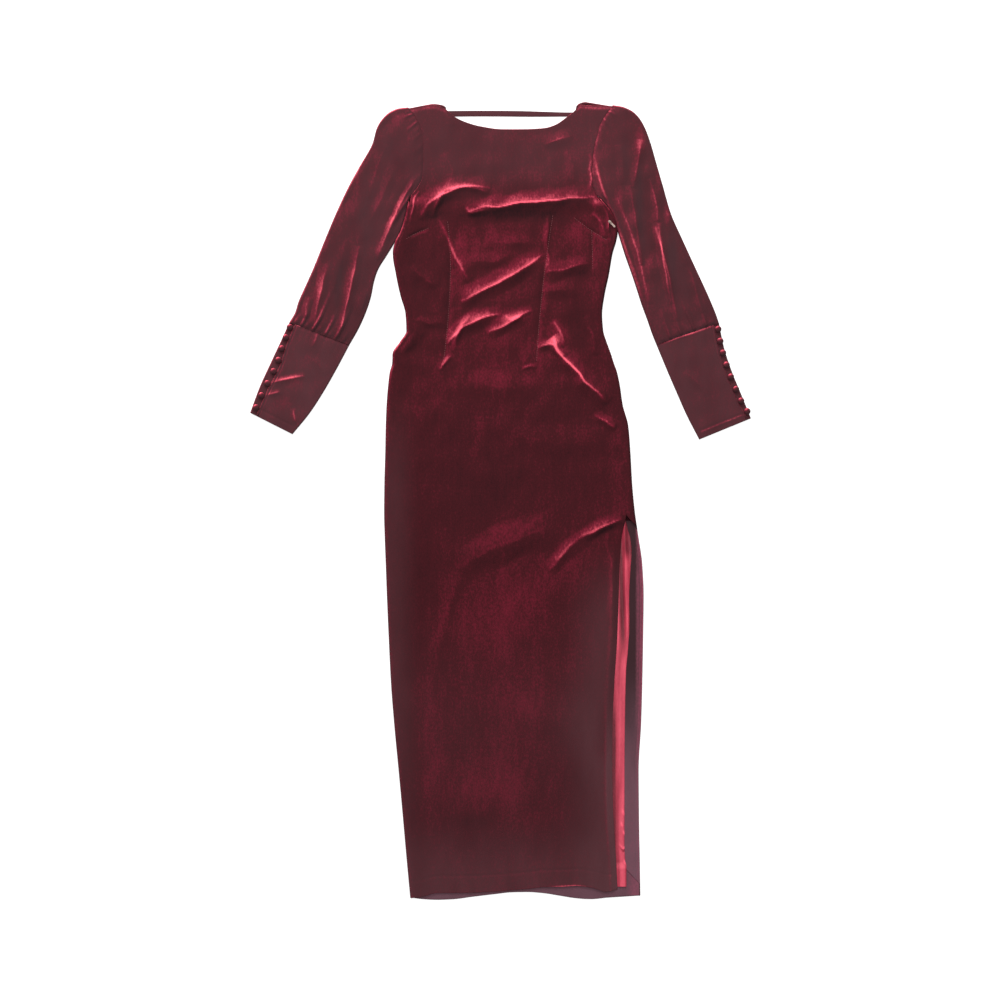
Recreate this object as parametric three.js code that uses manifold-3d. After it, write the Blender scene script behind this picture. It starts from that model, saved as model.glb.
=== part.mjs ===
import * as THREE from 'three';
import { mergeVertices } from 'three/addons/utils/BufferGeometryUtils.js';
import Module from 'manifold-3d';

// A long-sleeved velvet maxi evening dress laid flat on its back, face up.
// Millimetres. +Z is up, +Y runs from the hem to the neck, +X is the wearer's left side.
// The origin is under the middle of the dress, on the surface that it lies on.
// Each piece of cloth is a wall of even thickness about a grid of middle points.

const solids = await Module();
solids.setup();

// Driving sizes
const velvet = 1.8;
const lightCloth = 1.2;
const seamGap = 0.5;
const layerGap = 0.3;
const liningRoom = 1.9;
const sideRoll = 3.1;
const rollEase = 40;
const slitTop = -22;
const slitFlat = -58;
const flapWide = -115;
const hemBlend = -560;
const scoopEnd = 300;
const hemY = -714;
const leastStep = 1;
const frontColumns = 15;
const besideRoll = 12;
const foldFade = 14;
const foldSamples = 24;
const foldFullness = 0.6;
const weldDistance = 1e-4;

// Heights of the middle of each layer
const floorZ = velvet / 2;
const layerRise = velvet + liningRoom;
const liningZ = velvet + layerGap + lightCloth / 2;

const materials = {
  velvet: new THREE.MeshStandardMaterial({ color: 0x4b1c22, roughness: 0.85, metalness: 0 }),
  facing: new THREE.MeshStandardMaterial({ color: 0x5f414b, roughness: 0.85, metalness: 0 }),
  satin: new THREE.MeshStandardMaterial({ color: 0xcd4b5f, roughness: 0.35, metalness: 0 }),
  metal: new THREE.MeshStandardMaterial({ color: 0xc8b9a6, roughness: 0.4, metalness: 0.8 }),
};

// Armholes from the shoulder down to the underarm: the same seam on the front and on the back
const armholes = [
  { rightX: -164.5, rightY: 705, leftX: 200.5, leftY: 709 },
  { rightX: -156.5, rightY: 695, leftX: 193, leftY: 700 },
  { rightX: -148.5, rightY: 682, leftX: 185, leftY: 688 },
  { rightX: -142.5, rightY: 667, leftX: 177.5, leftY: 673 },
  { rightX: -139, rightY: 650, leftX: 173, leftY: 655 },
  { rightX: -138, rightY: 627, leftX: 167.5, leftY: 634 },
  { rightX: -138.5, rightY: 603, leftX: 164.5, leftY: 610 },
  { rightX: -140.5, rightY: 580, leftX: 164, leftY: 584 },
  { rightX: -149, rightY: 563, leftX: 166, leftY: 566 },
  { rightX: -160, rightY: 549, leftX: 173, leftY: 549 },
];

// The straight line from shoulder point to shoulder point, which the neckline is measured from
const shoulderLine = {
  right: { x: armholes[0].rightX, y: armholes[0].rightY },
  left: { x: armholes[0].leftX, y: armholes[0].leftY },
};

// The body below the underarm. right and left are its outer edges, and seam is the front's own
// left edge: the side seam down to slitTop, and the open edge of the slit below it. tuck is how
// far the right side seam lies from the outer edge along the cloth: over the top if it is
// positive, and round underneath if it is negative.
const body = [
  { y: 549, right: -162, left: 176, seam: 171, tuck: 4.9 },
  { y: 530, right: -167, left: 190, seam: 185, tuck: 4.9 },
  { y: 517, right: -169.5, left: 200, seam: 192, tuck: 5 },
  { y: 500, right: -174, left: 207, seam: 195, tuck: 5.5 },
  { y: 483, right: -180, left: 210, seam: 194.5, tuck: 7.5 },
  { y: 465, right: -189, left: 207, seam: 193, tuck: 9.8 },
  { y: 445, right: -193, left: 201, seam: 189, tuck: 8.5 },
  { y: 405, right: -187, left: 194, seam: 185, tuck: 6 },
  { y: 370, right: -179.5, left: 186.5, seam: 180.5, tuck: 2 },
  { y: 335, right: -170, left: 182, seam: 176.5, tuck: -4 },
  { y: 305, right: -168.5, left: 184, seam: 177, tuck: -10 },
  { y: 285, right: -180, left: 190, seam: 179.5, tuck: -13 },
  { y: 263, right: -193.5, left: 198, seam: 182, tuck: -17 },
  { y: 247, right: -194, left: 203, seam: 184, tuck: -19 },
  { y: 230, right: -198.5, left: 209, seam: 186, tuck: -21 },
  { y: 206, right: -201.5, left: 214, seam: 188.5, tuck: -24 },
  { y: 172, right: -204, left: 219, seam: 197.5, tuck: -26 },
  { y: 134, right: -205.5, left: 229, seam: 208, tuck: -27 },
  { y: 84, right: -206.5, left: 233, seam: 211, tuck: -28 },
  { y: 30, right: -208, left: 236, seam: 215.5, tuck: -28 },
  { y: -22, right: -208.5, left: 241, seam: 226, tuck: -28 },
  { y: -62, right: -207.5, left: 247, seam: 217.5, tuck: -28 },
  { y: -115, right: -205.5, left: 254.5, seam: 213.5, tuck: -28 },
  { y: -170, right: -203.5, left: 257, seam: 212, tuck: -28 },
  { y: -250, right: -200, left: 256, seam: 209, tuck: -28 },
  { y: -330, right: -196, left: 254.5, seam: 204, tuck: -28 },
  { y: -400, right: -190.5, left: 252.5, seam: 201, tuck: -28 },
  { y: -484, right: -182.5, left: 248, seam: 200.5, tuck: -27 },
  { y: -560, right: -175.5, left: 248.5, seam: 202, tuck: -27 },
  { y: -600, right: -172, left: 249, seam: 204, tuck: -26 },
  { y: -650, right: -167.5, left: 250, seam: 207, tuck: -26 },
  { y: -714, right: -161.5, left: 251, seam: 210, tuck: -26 },
];

// The y at which the rows of cloth lie, in spans of equal steps
const spans = [
  { from: 530, to: 180, steps: 17 },
  { from: 180, to: slitTop, steps: 5 },
  { from: slitTop, to: slitFlat, steps: 6 },
  { from: slitFlat, to: flapWide, steps: 2 },
  { from: flapWide, to: hemBlend, steps: 9 },
  { from: hemBlend, to: hemY, steps: 4 },
];

// The front's neckline and shoulders, and the back's shoulders and low scoop
const frontTop = [
  { x: -164.5, y: 705 }, { x: -121, y: 711.5 }, { x: -108, y: 708 }, { x: -93, y: 699 },
  { x: -81, y: 688.5 }, { x: -60, y: 679 }, { x: -37, y: 672.5 }, { x: 4, y: 667 },
  { x: 40, y: 667 }, { x: 78, y: 669 }, { x: 96, y: 674 }, { x: 122, y: 691 },
  { x: 133, y: 700 }, { x: 144, y: 711 }, { x: 170, y: 709.5 }, { x: 200.5, y: 709 },
];
const backTop = [
  { x: -164.5, y: 705 }, { x: -121, y: 713 }, { x: -99, y: 709 }, { x: -91.5, y: 640 },
  { x: -55, y: 545 }, { x: 18, y: 500 }, { x: 91, y: 545 }, { x: 129.5, y: 640 },
  { x: 137, y: 711 }, { x: 153, y: 716.6 }, { x: 170, y: 713.5 }, { x: 200.5, y: 709 },
];
const frontShoulders = { right: -100, left: 138 };
const backColumns = [-125, -99, -91.5, -55, 18, 91, 129.5, 137, 153];

// The hems: how far down each side of the skirt reaches at x
const hems = [
  { x: -161.5, front: -714, back: -714 }, { x: -143, front: -712, back: -716.5 },
  { x: -115, front: -705.5, back: -718 }, { x: -86, front: -705, back: -717 },
  { x: -50, front: -704.5, back: -712.5 }, { x: -8, front: -702.5, back: -707.5 },
  { x: 20, front: -700, back: -704.5 }, { x: 49, front: -698, back: -704 },
  { x: 77, front: -694.5, back: -706 }, { x: 106, front: -694, back: -710.5 },
  { x: 135, front: -692.5, back: -715 }, { x: 163, front: -695.5, back: -717 },
  { x: 190, front: -703, back: -714.5 }, { x: 205, front: -700, back: -713 },
  { x: 221, front: -699, back: -711.5 }, { x: 251, front: -699, back: -710.5 },
];

// Folds and darts of the front: a crest from one end through a middle point to the other end.
// above and below are the widths of its two slopes, and a dart is a shallow trough.
const frontFolds = [
  { x1: -145, y1: 511, x2: -104, y2: 572, x3: -18, y3: 564, height: 3, above: 26, below: 22 },
  { x1: -62, y1: 520, x2: 40, y2: 538, x3: 174, y3: 546, height: 4, above: 24, below: 32 },
  { x1: -76, y1: 360, x2: 5, y2: 388, x3: 78, y3: 445, height: 3, above: 24, below: 22 },
  { x1: 83, y1: 410, x2: 120, y2: 418, x3: 160, y3: 426, height: 2, above: 20, below: 20 },
  { x1: -99, y1: 279, x2: -52, y2: 332, x3: 2, y3: 334, height: 3, above: 22, below: 20 },
  { x1: -25, y1: 300, x2: 20, y2: 324, x3: 60, y3: 342, height: 2, above: 18, below: 18 },
  { x1: 90, y1: 292, x2: 116, y2: 246, x3: 194, y3: 172, height: 3.5, above: 24, below: 22 },
  { x1: -113, y1: 507, x2: -84, y2: 445, x3: -58, y3: 393, height: 2.5, above: 20, below: 20 },
  { x1: 76, y1: 640, x2: 102, y2: 650, x3: 128, y3: 655, height: 2, above: 20, below: 20 },
  { x1: 219, y1: -34, x2: 150, y2: -66, x3: 62, y3: -128, height: 4, above: 34, below: 30 },
  { x1: -76, y1: -121, x2: 0, y2: -70, x3: 100, y3: -49, height: 3, above: 40, below: 40 },
  { x1: -95, y1: 500, x2: -82, y2: 404, x3: -103, y3: 246, height: -1, above: 18, below: 18 },
  { x1: 94, y1: 511, x2: 72, y2: 380, x3: 65, y3: 252, height: -1, above: 18, below: 18 },
];

// Sections of each sleeve from the armhole to the cuff seam. outer and inner are its two folded
// edges, bow is how far the section curves towards the body, and gather is the gathers' height.
const sleeveRight = [
  { outerX: -188, outerY: 703, innerX: -167.5, innerY: 536, bow: 19, gather: 1.2, crown: 1.1 },
  { outerX: -206, outerY: 692, innerX: -171.8, innerY: 518, bow: 14, gather: 1.4, crown: 1.3 },
  { outerX: -221, outerY: 671, innerX: -176, innerY: 502, bow: 10, gather: 1.1, crown: 1.3 },
  { outerX: -231, outerY: 638, innerX: -181.8, innerY: 485, bow: 7, gather: 0.6, crown: 1.3 },
  { outerX: -254, outerY: 598, innerX: -191.2, innerY: 466, bow: 4, gather: 0.3, crown: 1.2 },
  { outerX: -274.5, outerY: 560, innerX: -204.5, innerY: 442, bow: 2, gather: 0.2, crown: 1.1 },
  { outerX: -295.5, outerY: 515, innerX: -220, innerY: 417, bow: 0, gather: 0.2, crown: 1 },
  { outerX: -316, outerY: 466, innerX: -228, innerY: 394, bow: 0, gather: 0.3, crown: 1 },
  { outerX: -338, outerY: 412, innerX: -234, innerY: 365, bow: 0, gather: 0.5, crown: 1 },
  { outerX: -361, outerY: 361, innerX: -243, innerY: 338, bow: 0, gather: 1, crown: 1.1 },
  { outerX: -368.5, outerY: 338, innerX: -256, innerY: 309, bow: 1, gather: 1.4, crown: 1.1 },
  { outerX: -379, outerY: 320, innerX: -272.5, innerY: 280, bow: 0, gather: 0.5, crown: 0.6 },
];
const sleeveLeft = [
  { outerX: 222, outerY: 706.5, innerX: 187.5, innerY: 537, bow: 20, gather: 1.2, crown: 1.1 },
  { outerX: 241, outerY: 696, innerX: 201.4, innerY: 519, bow: 16, gather: 1.4, crown: 1.3 },
  { outerX: 256, outerY: 676, innerX: 208.8, innerY: 502, bow: 12, gather: 1.1, crown: 1.3 },
  { outerX: 268, outerY: 646, innerX: 212, innerY: 486, bow: 8, gather: 0.6, crown: 1.3 },
  { outerX: 279, outerY: 608, innerX: 218, innerY: 462, bow: 4, gather: 0.3, crown: 1.2 },
  { outerX: 292, outerY: 563, innerX: 226, innerY: 437, bow: 2, gather: 0.2, crown: 1.1 },
  { outerX: 306, outerY: 515, innerX: 236, innerY: 409, bow: 0, gather: 0.2, crown: 1 },
  { outerX: 325, outerY: 472, innerX: 245, innerY: 382, bow: 0, gather: 0.3, crown: 1 },
  { outerX: 347, outerY: 424, innerX: 254, innerY: 354, bow: 0, gather: 0.5, crown: 1 },
  { outerX: 371, outerY: 372, innerX: 264, innerY: 327, bow: 0, gather: 1, crown: 1.1 },
  { outerX: 385, outerY: 339, innerX: 273, innerY: 301, bow: 1, gather: 1.4, crown: 1.1 },
  { outerX: 392, outerY: 319, innerX: 281, innerY: 281, bow: 0, gather: 0.5, crown: 0.6 },
];
const sleeveRoll = 2.3;
const sleeveCrown = { fullness: 0.7, foldFade: 0.08 };

// The sleeve's seam end: its distance from the armhole, its wave, and its two rounded ends
const armholeGap = { shoulder: 0.9, underarm: 2.1, spread: 4 };
const armholeRingEnds = { outerX: 1.3, outerY: 1.3, innerX: 1.4, innerY: -1.1, wave: 0.4 };

// Long creases of the sleeves
const sleeveFolds = [
  { x1: -254, y1: 458, x2: -270, y2: 375, x3: -291, y3: 293, height: 2.5, above: 16, below: 16 },
  { x1: -312, y1: 425, x2: -325, y2: 370, x3: -337, y3: 313, height: 2, above: 16, below: 16 },
  { x1: -160, y1: 590, x2: -184, y2: 525, x3: -222, y3: 430, height: 2, above: 14, below: 14 },
  { x1: 253, y1: 648, x2: 246, y2: 594, x3: 238, y3: 562, height: 2, above: 16, below: 16 },
  { x1: 268, y1: 578, x2: 282, y2: 532, x3: 283, y3: 500, height: 2, above: 16, below: 16 },
  { x1: 278, y1: 492, x2: 302, y2: 413, x3: 318, y3: 322, height: 2.5, above: 16, below: 16 },
  { x1: 232, y1: 566, x2: 246, y2: 491, x3: 254, y3: 424, height: 2, above: 14, below: 14 },
];

// Sections of each cuff from the seam to the open end. lap is how far the buttoned edge lies
// inside the outer edge.
const cuffRight = [
  { outerX: -379.3, outerY: 319.5, innerX: -272.8, innerY: 279.5, lap: 11 },
  { outerX: -395, outerY: 285, innerX: -296, innerY: 236, lap: 13 },
  { outerX: -413, outerY: 246.5, innerX: -320, innerY: 194, lap: 18 },
  { outerX: -433, outerY: 202.5, innerX: -345, innerY: 156, lap: 16 },
  { outerX: -449.5, outerY: 158, innerX: -374.5, innerY: 120, lap: 13 },
];
const cuffLeft = [
  { outerX: 392.3, outerY: 318.5, innerX: 281.3, innerY: 280.5, lap: 10 },
  { outerX: 401, outerY: 276, innerX: 298.5, innerY: 239, lap: 11 },
  { outerX: 415, outerY: 233, innerX: 316.5, innerY: 197, lap: 12 },
  { outerX: 433, outerY: 189, innerX: 336, innerY: 153, lap: 12 },
  { outerX: 449.5, outerY: 148, innerX: 358, innerY: 110.5, lap: 6 },
];
const cuff = { outerRoll: 1.2, innerRoll: 1.6, underlap: 12, topLift: 2.1, lapEase: 8, rows: 7 };
const cuffUnderShares = [0.35, 0.7];
const cuffCrown = [{ share: 0.75, rise: 0.2 }, { share: 0.5, rise: 0.5 }];

// Covered buttons and their loops
const button = { count: 8, radius: 6, height: 6.6, neck: 2.2, rim: 1.7, fromLap: 7, sides: 9 };
const buttonDome = { rimRise: 0.5, shoulderRadius: 4.9, shoulderHeight: 5.1 };
const buttonSpan = { first: 0.05, last: 0.93, nearby: 0.02 };
const loop = { inner: 2.7, outer: 4, height: 1.1, arcSteps: 4 };
const loopTape = { width: 1.2, inset: 0.5, endShare: 0.01, steps: 6 };

// The narrow strap across the back of the neck
const strap = { top: 701, bottom: 690.5, endGap: 0.8, steps: 8 };

// Facings and lining that show in the slit
const facingEdge = [
  { y: -62, x: 236.7 }, { y: -94, x: 236.2 }, { y: -120, x: 234.4 }, { y: -170, x: 231.8 },
  { y: -262, x: 230 }, { y: -307, x: 226.3 }, { y: -381, x: 224.5 }, { y: -467, x: 223.6 },
  { y: -620, x: 223.4 }, { y: -663, x: 225.5 }, { y: -714, x: 225.5 },
];
const mitre = { innerX: 225.5, innerY: -663, outerX: 250, outerY: -689 };
const hemFacing = { startX: -150, edgeInset: 1.8, steps: 8 };
const hemFacingRows = [
  { height: 45, endX: 225.5 }, { height: 22, endX: 248.8 }, { height: 0, endX: 249.4 },
];
const lining = { top: -46, bottom: -662, underFront: 14 };
const liningFold = { x: 226, reach: 7, height: 2.5, end: -270, ease: 60 };
const liningShares = [0, 0.4, 0.55, 0.7, 0.85, 1];

// The pull tab of the concealed zip, and the slider that it hangs from, below the left underarm
const zip = { x: 196.5, y: 500.5, turnDegrees: -46, baseZ: 8.4 };
const slider = { length: 6.6, width: 4, plate: 1.2, endWidth: 2.4, sideLength: 4 };
const arch = { length: 5, width: 1.4, leg: 1, room: 2.2, bar: 0.8, sunk: 0.3 };
const pull = { length: 13.7, width: 3.2, thickness: 1, bar: 1, tipWidth: 1.3, taper: 1.2 };
const eye = { length: 3.4, width: 2.2, clearance: 0.35 };

const lerp = THREE.MathUtils.lerp;
const clamp = THREE.MathUtils.clamp;
const smooth = THREE.MathUtils.smoothstep;
const point = (x, y, z) => new THREE.Vector3(x, y, z);
const outlineOf = (pairs) => pairs.map(([x, y]) => new THREE.Vector2(x, y));

// Straight-line lookup in a table whose key column only rises or only falls
function lookUp(table, key, column, at) {
  const rising = table[table.length - 1][key] > table[0][key];
  let next = table.findIndex((row) => (rising ? row[key] >= at : row[key] <= at));
  if (next === -1) next = table.length - 1;
  if (next === 0) return table[0][column];
  const a = table[next - 1];
  const b = table[next];
  const share = clamp((at - a[key]) / (b[key] - a[key]), 0, 1);
  return lerp(a[column], b[column], share);
}

// Height of one fold at a point: full along the crest, fading to its sides and its ends
function foldHeight(fold, x, y) {
  let nearest = Infinity;
  let share = 0;
  let crestY = 0;
  for (let i = 0; i <= foldSamples; i += 1) {
    const k = i / foldSamples;
    const cx = (1 - k) ** 2 * fold.x1 + 2 * k * (1 - k) * fold.x2 + k * k * fold.x3;
    const cy = (1 - k) ** 2 * fold.y1 + 2 * k * (1 - k) * fold.y2 + k * k * fold.y3;
    const distance = Math.hypot(x - cx, y - cy);
    if (distance < nearest) {
      nearest = distance;
      share = k;
      crestY = cy;
    }
  }
  const width = y > crestY ? fold.above : fold.below;
  if (nearest >= width) return 0;
  const acrossFold = 0.5 + 0.5 * Math.cos((Math.PI * nearest) / width);
  return fold.height * acrossFold * Math.sin(Math.PI * share) ** foldFullness;
}

function foldsAt(folds, x, y) {
  return folds.reduce((sum, fold) => sum + foldHeight(fold, x, y), 0);
}

// A closed wall about a grid of middle points, moved out and in along the grid's normals.
// Along its first and last rows the wall's ends stand upright, so that seams stay parted.
function clothWall(name, rows, material, { wall = velvet, ring = false } = {}) {
  const high = rows.length;
  const wide = rows[0].length;
  const outer = [];
  const inner = [];
  const across = new THREE.Vector3();
  const down = new THREE.Vector3();
  for (let r = 0; r < high; r += 1) {
    for (let c = 0; c < wide; c += 1) {
      const before = ring ? (c + wide - 1) % wide : Math.max(c - 1, 0);
      const after = ring ? (c + 1) % wide : Math.min(c + 1, wide - 1);
      across.subVectors(rows[r][after], rows[r][before]);
      down.subVectors(rows[Math.min(r + 1, high - 1)][c], rows[Math.max(r - 1, 0)][c]);
      if (r === 0 || r === high - 1) down.z = 0;
      const normal = new THREE.Vector3().crossVectors(down, across).normalize();
      outer.push(rows[r][c].clone().addScaledVector(normal, wall / 2));
      inner.push(rows[r][c].clone().addScaledVector(normal, -wall / 2));
    }
  }
  const points = [...outer, ...inner];
  const step = high * wide;
  const faces = [];
  const quad = (a, b, c, d) => faces.push(a, b, c, a, c, d);
  const columns = ring ? wide : wide - 1;
  for (let r = 0; r < high - 1; r += 1) {
    for (let c = 0; c < columns; c += 1) {
      const a = r * wide + c;
      const b = r * wide + ((c + 1) % wide);
      quad(a, a + wide, b + wide, b);
      quad(step + a, step + b, step + b + wide, step + a + wide);
    }
    if (!ring) {
      const a = r * wide;
      const b = a + wide - 1;
      quad(a, step + a, step + a + wide, a + wide);
      quad(b, b + wide, step + b + wide, step + b);
    }
  }
  for (let c = 0; c < columns; c += 1) {
    const next = (c + 1) % wide;
    const end = (high - 1) * wide;
    quad(c, next, step + next, step + c);
    quad(end + c, step + end + c, step + end + next, end + next);
  }
  return closedMesh(name, points, faces, material);
}

// A mesh from points and triangles, with its faces turned to point out
function closedMesh(name, points, faces, material) {
  let volume = 0;
  for (let i = 0; i < faces.length; i += 3) {
    const [a, b, c] = [points[faces[i]], points[faces[i + 1]], points[faces[i + 2]]];
    volume += new THREE.Vector3().crossVectors(b, c).dot(a);
  }
  const turned = volume < 0 ? [...faces].reverse() : faces;
  const geometry = new THREE.BufferGeometry();
  const places = points.flatMap((p) => [p.x, p.y, p.z]);
  geometry.setAttribute('position', new THREE.Float32BufferAttribute(places, 3));
  geometry.setIndex(turned);
  geometry.computeVertexNormals();
  const mesh = new THREE.Mesh(geometry, material);
  mesh.name = name;
  return mesh;
}

// Where the rows of the body lie: the armhole rows first, and then the rows below the underarm
function bodyStations() {
  const stations = armholes.map((row, index) => {
    const roll = layerRise / 2;
    return {
      share: index / (armholes.length - 1),
      yoke: true,
      roll,
      right: { x: row.rightX - roll, y: row.rightY },
      left: { x: row.leftX, y: row.leftY },
      frontStart: (roll * Math.PI) / 2,
      backStart: (-roll * Math.PI) / 2,
      foldX: row.leftX,
        frontStopX: row.leftX,
      backStop: 0,
      closed: 0,
      nominalY: (row.rightY + row.leftY) / 2,
    };
  });
  spans.forEach((span, index) => {
    for (let i = index ? 1 : 0; i <= span.steps; i += 1) {
      stations.push(sideStation(lerp(span.from, span.to, i / span.steps)));
    }
  });
  return stations;
}

// One row below the underarm, closed at its left side above the slit. Below the top of the slit the
// cloth that is turned over the front grows narrower, until the open edge lies flat.
function sideStation(y) {
  const right = lookUp(body, 'y', 'right', y);
  const left = lookUp(body, 'y', 'left', y);
  const seam = lookUp(body, 'y', 'seam', y);
  const tuck = lookUp(body, 'y', 'tuck', y);
  const halfTurn = Math.PI * sideRoll;
  const opened = 1 - smooth(y, slitFlat, slitTop);
  const edgeToSeam = lookUp(body, 'y', 'left', slitTop) - lookUp(body, 'y', 'seam', slitTop);
  const turnedOver = (halfTurn + edgeToSeam - sideRoll) * (1 - opened);
  const foldX = left - sideRoll * Math.sin(Math.min(turnedOver / sideRoll, Math.PI / 2));
  return {
    share: 1,
    yoke: false,
    roll: sideRoll,
    right: { x: right, y },
    left: { x: left, y },
    frontStart: tuck,
    backStart: tuck - seamGap,
    foldX,
    frontStopX: y >= slitTop ? seam - seamGap : seam,
    backStop: y >= slitTop ? halfTurn + foldX - seam : turnedOver,
    closed: 1 - opened,
    nominalY: y,
  };
}

// The row's own y at x, before its neck or its hem is shaped
function rowY(station, x) {
  const share = clamp((x - station.right.x) / (station.left.x - station.right.x), 0, 1);
  return lerp(station.right.y, station.left.y, share);
}

// Height of the middle of the upper layer
function topZ(station, x, y) {
  const fromRight = x - station.right.x - station.roll;
  const fromLeft = station.foldX - x;
  const swell = 2 * station.roll - layerRise;
  const rightSide = 1 - smooth(fromRight, 0, rollEase);
  const leftSide = station.closed * (1 - smooth(fromLeft, 0, rollEase));
  const insideLeft = smooth(fromLeft + foldFade * (1 - station.closed), 0, foldFade);
  const fade = smooth(fromRight, 0, foldFade) * (station.yoke ? 1 : insideLeft);
  const swollen = floorZ + layerRise + swell * (rightSide + leftSide);
  return swollen + fade * foldsAt(frontFolds, x, y);
}

// A point of the folded-over right side, at a distance along the cloth from its outermost line
function overRight(station, along) {
  const quarter = (station.roll * Math.PI) / 2;
  const start = station.right.x + station.roll;
  if (along < -quarter) return { x: start - along - quarter, z: floorZ };
  if (along > quarter) return { x: start + along - quarter, upper: true };
  const angle = along / station.roll;
  return { x: start - station.roll * Math.cos(angle), z: floorZ + station.roll * (1 + Math.sin(angle)) };
}

// A point of the back's left side, at a distance along the cloth from where it leaves the floor.
// lift moves it in towards the side that faces up.
function overLeft(station, along, lift = 0) {
  const arc = station.roll * Math.PI;
  if (along <= 0) return { x: station.foldX + along, z: floorZ + lift };
  const angle = Math.min(along, arc) / station.roll;
  const rest = Math.max(along - arc, 0);
  if (rest > 0 && station.closed === 1) return { x: station.foldX - rest, upper: true };
  return {
    x: station.foldX + (station.roll - lift) * Math.sin(angle) - rest,
    z: floorZ + station.roll - (station.roll - lift) * Math.cos(angle),
  };
}

// The row's shaped y: the neckline or scoop fades out down the body, and the hem fades in
function shapedY(station, x, top, hemColumn, fade) {
  const base = rowY(station, x);
  if (station.nominalY < hemBlend) {
    const share = (hemBlend - station.nominalY) / (hemBlend - hemY);
    return lerp(hemBlend, lookUp(hems, 'x', hemColumn, x), share);
  }
  const topX = shoulderX(station, x);
  return base + (lookUp(top, 'x', 'y', topX) - rowY(shoulderLine, topX)) * fade;
}

// The place on the shoulder line above x, with the armholes' edges drawn out to the shoulder points
function shoulderX(station, x) {
  const right = station.right.x + (station.yoke ? station.roll : 0);
  const left = station.left.x;
  const [first, last] = [backColumns[0], backColumns[backColumns.length - 1]];
  if (x < first) return lerp(shoulderLine.right.x, first, clamp((x - right) / (first - right), 0, 1));
  if (x > last) return lerp(last, shoulderLine.left.x, clamp((x - last) / (left - last), 0, 1));
  return x;
}

// How much of the scoop's shape is left at a row
function scoopFade(station) {
  return clamp((station.right.y - scoopEnd) / (armholes[0].rightY - scoopEnd), 0, 1);
}

// The front: from its seam on the right side, over the top, to the left side seam or the slit
function frontRows(stations) {
  return stations.map((station) => {
    const quarter = (station.roll * Math.PI) / 2;
    const marks = [station.frontStart];
    for (const mark of [-quarter, 0, quarter, quarter + besideRoll]) {
      marks.push(Math.max(mark, marks[marks.length - 1] + leastStep));
    }
    const places = marks.map((along) => overRight(station, along));
    const startX = places[places.length - 1].x;
    for (let i = 1; i <= frontColumns; i += 1) {
      places.push({ x: lerp(startX, station.frontStopX, i / frontColumns), upper: true });
    }
    return places.map((place) => {
      const hemSide = place.upper ? 'front' : 'back';
      const y = shapedY(station, place.x, frontTop, hemSide, 1 - station.share);
      let z = place.upper ? topZ(station, place.x, y) : place.z;
      const onShoulder = place.x < frontShoulders.right || place.x > frontShoulders.left;
      if (station.share === 0 && onShoulder) z = floorZ + velvet + layerGap;
      return point(place.x, y, z);
    });
  });
}

// The back: from its seam on the right side, along the floor, to the left side seam or the slit
function backRows(stations) {
  return stations.map((station) => {
    const quarter = (station.roll * Math.PI) / 2;
    const marks = [station.backStart];
    for (const mark of [quarter, 0, -quarter, -quarter - besideRoll]) {
      marks.push(Math.min(mark, marks[marks.length - 1] - leastStep));
    }
    const places = marks.map((along) => overRight(station, along));
    places.push(...backColumns.map((x) => ({ x, z: floorZ })));
    places.push(...leftMarks(station).map((along) => overLeft(station, along)));
    return places.map((place) => {
      const y = shapedY(station, place.x, backTop, 'back', scoopFade(station));
      return point(place.x, y, place.upper ? topZ(station, place.x, y) : place.z);
    });
  });
}

// Distances along the cloth at which the back's left side has its columns
function leftMarks(station) {
  const arc = station.roll * Math.PI;
  const marks = [station.backStop];
  for (const mark of [arc, arc / 2, 0]) {
    marks.unshift(Math.min(mark, marks[0] - leastStep));
  }
  return marks;
}

// Where the slit facing begins, measured as leftMarks is
function facingStart(station) {
  const edge = lookUp(facingEdge, 'y', 'x', station.nominalY) - station.foldX;
  return Math.min(edge, leftMarks(station)[0] - leastStep);
}

// Where the back's scoop meets the height y, on the right or on the left
function scoopX(y, side) {
  const pair = side === 'right' ? [backTop[2], backTop[3]] : [backTop[8], backTop[7]];
  return lerp(pair[0].x, pair[1].x, (pair[0].y - y) / (pair[0].y - pair[1].y));
}

function neckStrap() {
  const rows = [strap.top, strap.bottom].map((y) => {
    const from = scoopX(y, 'right') + strap.endGap;
    const to = scoopX(y, 'left') - strap.endGap;
    const steps = Array.from({ length: strap.steps + 1 }, (_, i) => i / strap.steps);
    return steps.map((share) => point(lerp(from, to, share), y, floorZ));
  });
  return clothWall('neck_strap', rows, materials.velvet);
}

// One sleeve: a closed flattened tube
function sleeve(name, side, sections) {
  const outward = side === 'right' ? -1 : 1;
  const upperSteps = 2 * (armholes.length - 1);
  const rings = sections.map((section) => sleeveRing(section, outward, upperSteps));
  rings.unshift(armholeRing(side, outward, upperSteps));
  return clothWall(name, rings, materials.velvet, { ring: true });
}

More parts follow.
